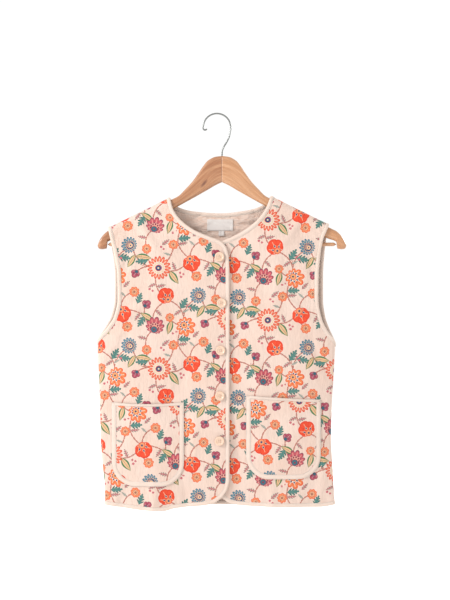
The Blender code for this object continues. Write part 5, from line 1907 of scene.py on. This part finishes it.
def lacquered_wood(name, early, late, knot):
    """Lacquered beech: rings seen as long streaks, pores, and on one arm a dark knot.

    The grain follows the attribute of that name, along the arm, across it and in depth. Round
    the knot the streaks are pushed aside, by a distance that dies away as e to its power.
    """
    material, tree = new_material(name, Roughness=0.34, Coat_Weight=0.35, Coat_Roughness=0.12)
    add(tree, "grain", "Attribute", {"attribute_name": "grain"}, {})
    add(tree, "grain_xyz", "SeparateXYZ", {}, {0: "grain.Vector"})
    add_steps(tree, KNOT_FORMULA)
    add_steps(tree, (("pushed", "MULTIPLY_ADD", "knot_push", knot, "grain_xyz.Y"),))
    add(tree, "pushed_grain", "CombineXYZ", {},
        {0: "grain_xyz.X", 1: "pushed", 2: "grain_xyz.Z"})
    add(tree, "rings_place", "Mapping", {},
        {"Vector": "pushed_grain", "Scale": (4.5, 70.0, 45.0)})
    add(tree, "rings", "TexNoise", {},
        {"Vector": "rings_place", "Scale": 2.2, "Detail": 5.0, "Roughness": 0.6,
         "Distortion": 0.6})
    add(tree, "pores_place", "Mapping", {},
        {"Vector": "pushed_grain", "Scale": (60.0, 1300.0, 900.0)})
    add(tree, "pores", "TexNoise", {}, {"Vector": "pores_place", "Scale": 1.0, "Detail": 2.0})
    add(tree, "streaks", "MapRange", {}, {0: "rings.Fac", 1: 0.36, 2: 0.66, 3: 0.0, 4: 1.0})
    add(tree, "wood", "Mix", {"data_type": "RGBA"},
        {0: "streaks", 6: tint(early), 7: tint(late)})
    add(tree, "pitted", "MapRange", {}, {0: "pores.Fac", 1: 0.35, 2: 0.55, 3: 0.86, 4: 1.0})
    add(tree, "porous", "Mix", {"data_type": "RGBA", "blend_type": "MULTIPLY"},
        {0: 1.0, 6: "wood.2", 7: "pitted"})
    add(tree, "knot_spot", "MapRange", {}, {0: "knot_far", 1: 0.0016, 2: 0.0052, 3: 0.85, 4: 0.0})
    add_steps(tree, (("knot_mask", "MULTIPLY", "knot_spot", knot),))
    add(tree, "knotted", "Mix", {"data_type": "RGBA"},
        {0: "knot_mask", 6: "porous.2", 7: tint("#7A4A38")})
    wire_up(tree, "knotted.2", "pores.Fac", 0.00006)
    return material


def drawn_steel():
    """Grey steel wire with faint lengthwise drawing marks in its polish."""
    material, tree = new_material("hook_steel", Metallic=1.0)
    add(tree, "object", "TexCoord", {}, {})
    add(tree, "marks", "TexNoise", {},
        {"Vector": "object.Object", "Scale": 700.0, "Detail": 3.0})
    add(tree, "polish", "MapRange", {}, {0: "marks.Fac", 1: 0.3, 2: 0.7, 3: 0.22, 4: 0.36})
    add(tree, "grey", "Mix", {"data_type": "RGBA"},
        {0: "marks.Fac", 6: tint("#A3A5A2"), 7: tint("#969896")})
    wire_up(tree, "grey.2", "marks.Fac", 0.00001, Roughness="polish")
    return material


def add_stage():
    """A pale floor, a pale sky all round and two soft lights, before and behind the garment."""
    half = FLOOR_HALF
    points = np.array([(-half, -half, FLOOR_Z), (half, -half, FLOOR_Z), (half, half, FLOOR_Z),
                       (-half, half, FLOOR_Z)])
    mesh = make_mesh("floor", points, np.array([[0, 1, 2, 3]]))
    material, _ = new_material("matt_floor", Roughness=1.0, Specular_IOR_Level=0.0)
    material.node_tree.nodes["shader"].inputs["Base Color"].default_value = FLOOR_COLOUR
    mesh.materials.append(material)
    floor = bpy.data.objects.new("floor", mesh)
    bpy.context.scene.collection.objects.link(floor)

    world = bpy.data.worlds.new("pale_room")
    world.use_nodes = True
    background = world.node_tree.nodes["Background"]
    background.inputs["Color"].default_value = SKY_COLOUR
    background.inputs["Strength"].default_value = SKY_STRENGTH
    bpy.context.scene.world = world

    aim = Vector((VIEW_X, 0.0, VIEW_Z)) * MM
    for name, place, size, power in LIGHTS:
        light = bpy.data.lights.new(name, "AREA")
        light.shape = "DISK"
        light.size = size
        light.energy = power
        lamp = bpy.data.objects.new(name, light)
        lamp.location = Vector(place) * MM
        lamp.rotation_euler = (aim - lamp.location).to_track_quat("-Z", "Y").to_euler()
        bpy.context.scene.collection.objects.link(lamp)


def add_camera():
    """The camera straight in front of the photograph's middle, level, framing its height."""
    data = bpy.data.cameras.new("camera")
    data.sensor_width = SENSOR
    data.lens = SENSOR * VIEW_DISTANCE / VIEW_HEIGHT
    camera = bpy.data.objects.new("camera", data)
    camera.location = Vector((VIEW_X, -VIEW_DISTANCE, VIEW_Z)) * MM
    camera.rotation_euler = (math.pi / 2, 0.0, 0.0)
    bpy.context.scene.collection.objects.link(camera)
    bpy.context.scene.camera = camera


cotton = printed_cotton()
gauze = plain_gauze()
band = bias_strip()
woven = woven_tape()
add_cloth(cotton, gauze, band)
for pocket_side, *pocket_sizes in POCKETS:
    add_pocket(pocket_side, *pocket_sizes, cotton, gauze, band)
add_label("blank_label", "neck_label", LABEL, woven)
add_label("blank_tab", "size_tab", TAB, woven)
add_buttons(button_plastic(), sewing_thread())
dark_wood = lacquered_wood("arm_wood_dark", "#D39A70", "#A9683F", 1.0)
light_wood = lacquered_wood("arm_wood_light", "#E6AE82", "#C98A5A", 0.0)
add_arm("left", -1.0, dark_wood)
add_arm("right", 1.0, light_wood)
add_bar(light_wood)
add_hook(drawn_steel())
add_stage()
add_camera()
bpy.context.scene.view_settings.view_transform = "Standard"
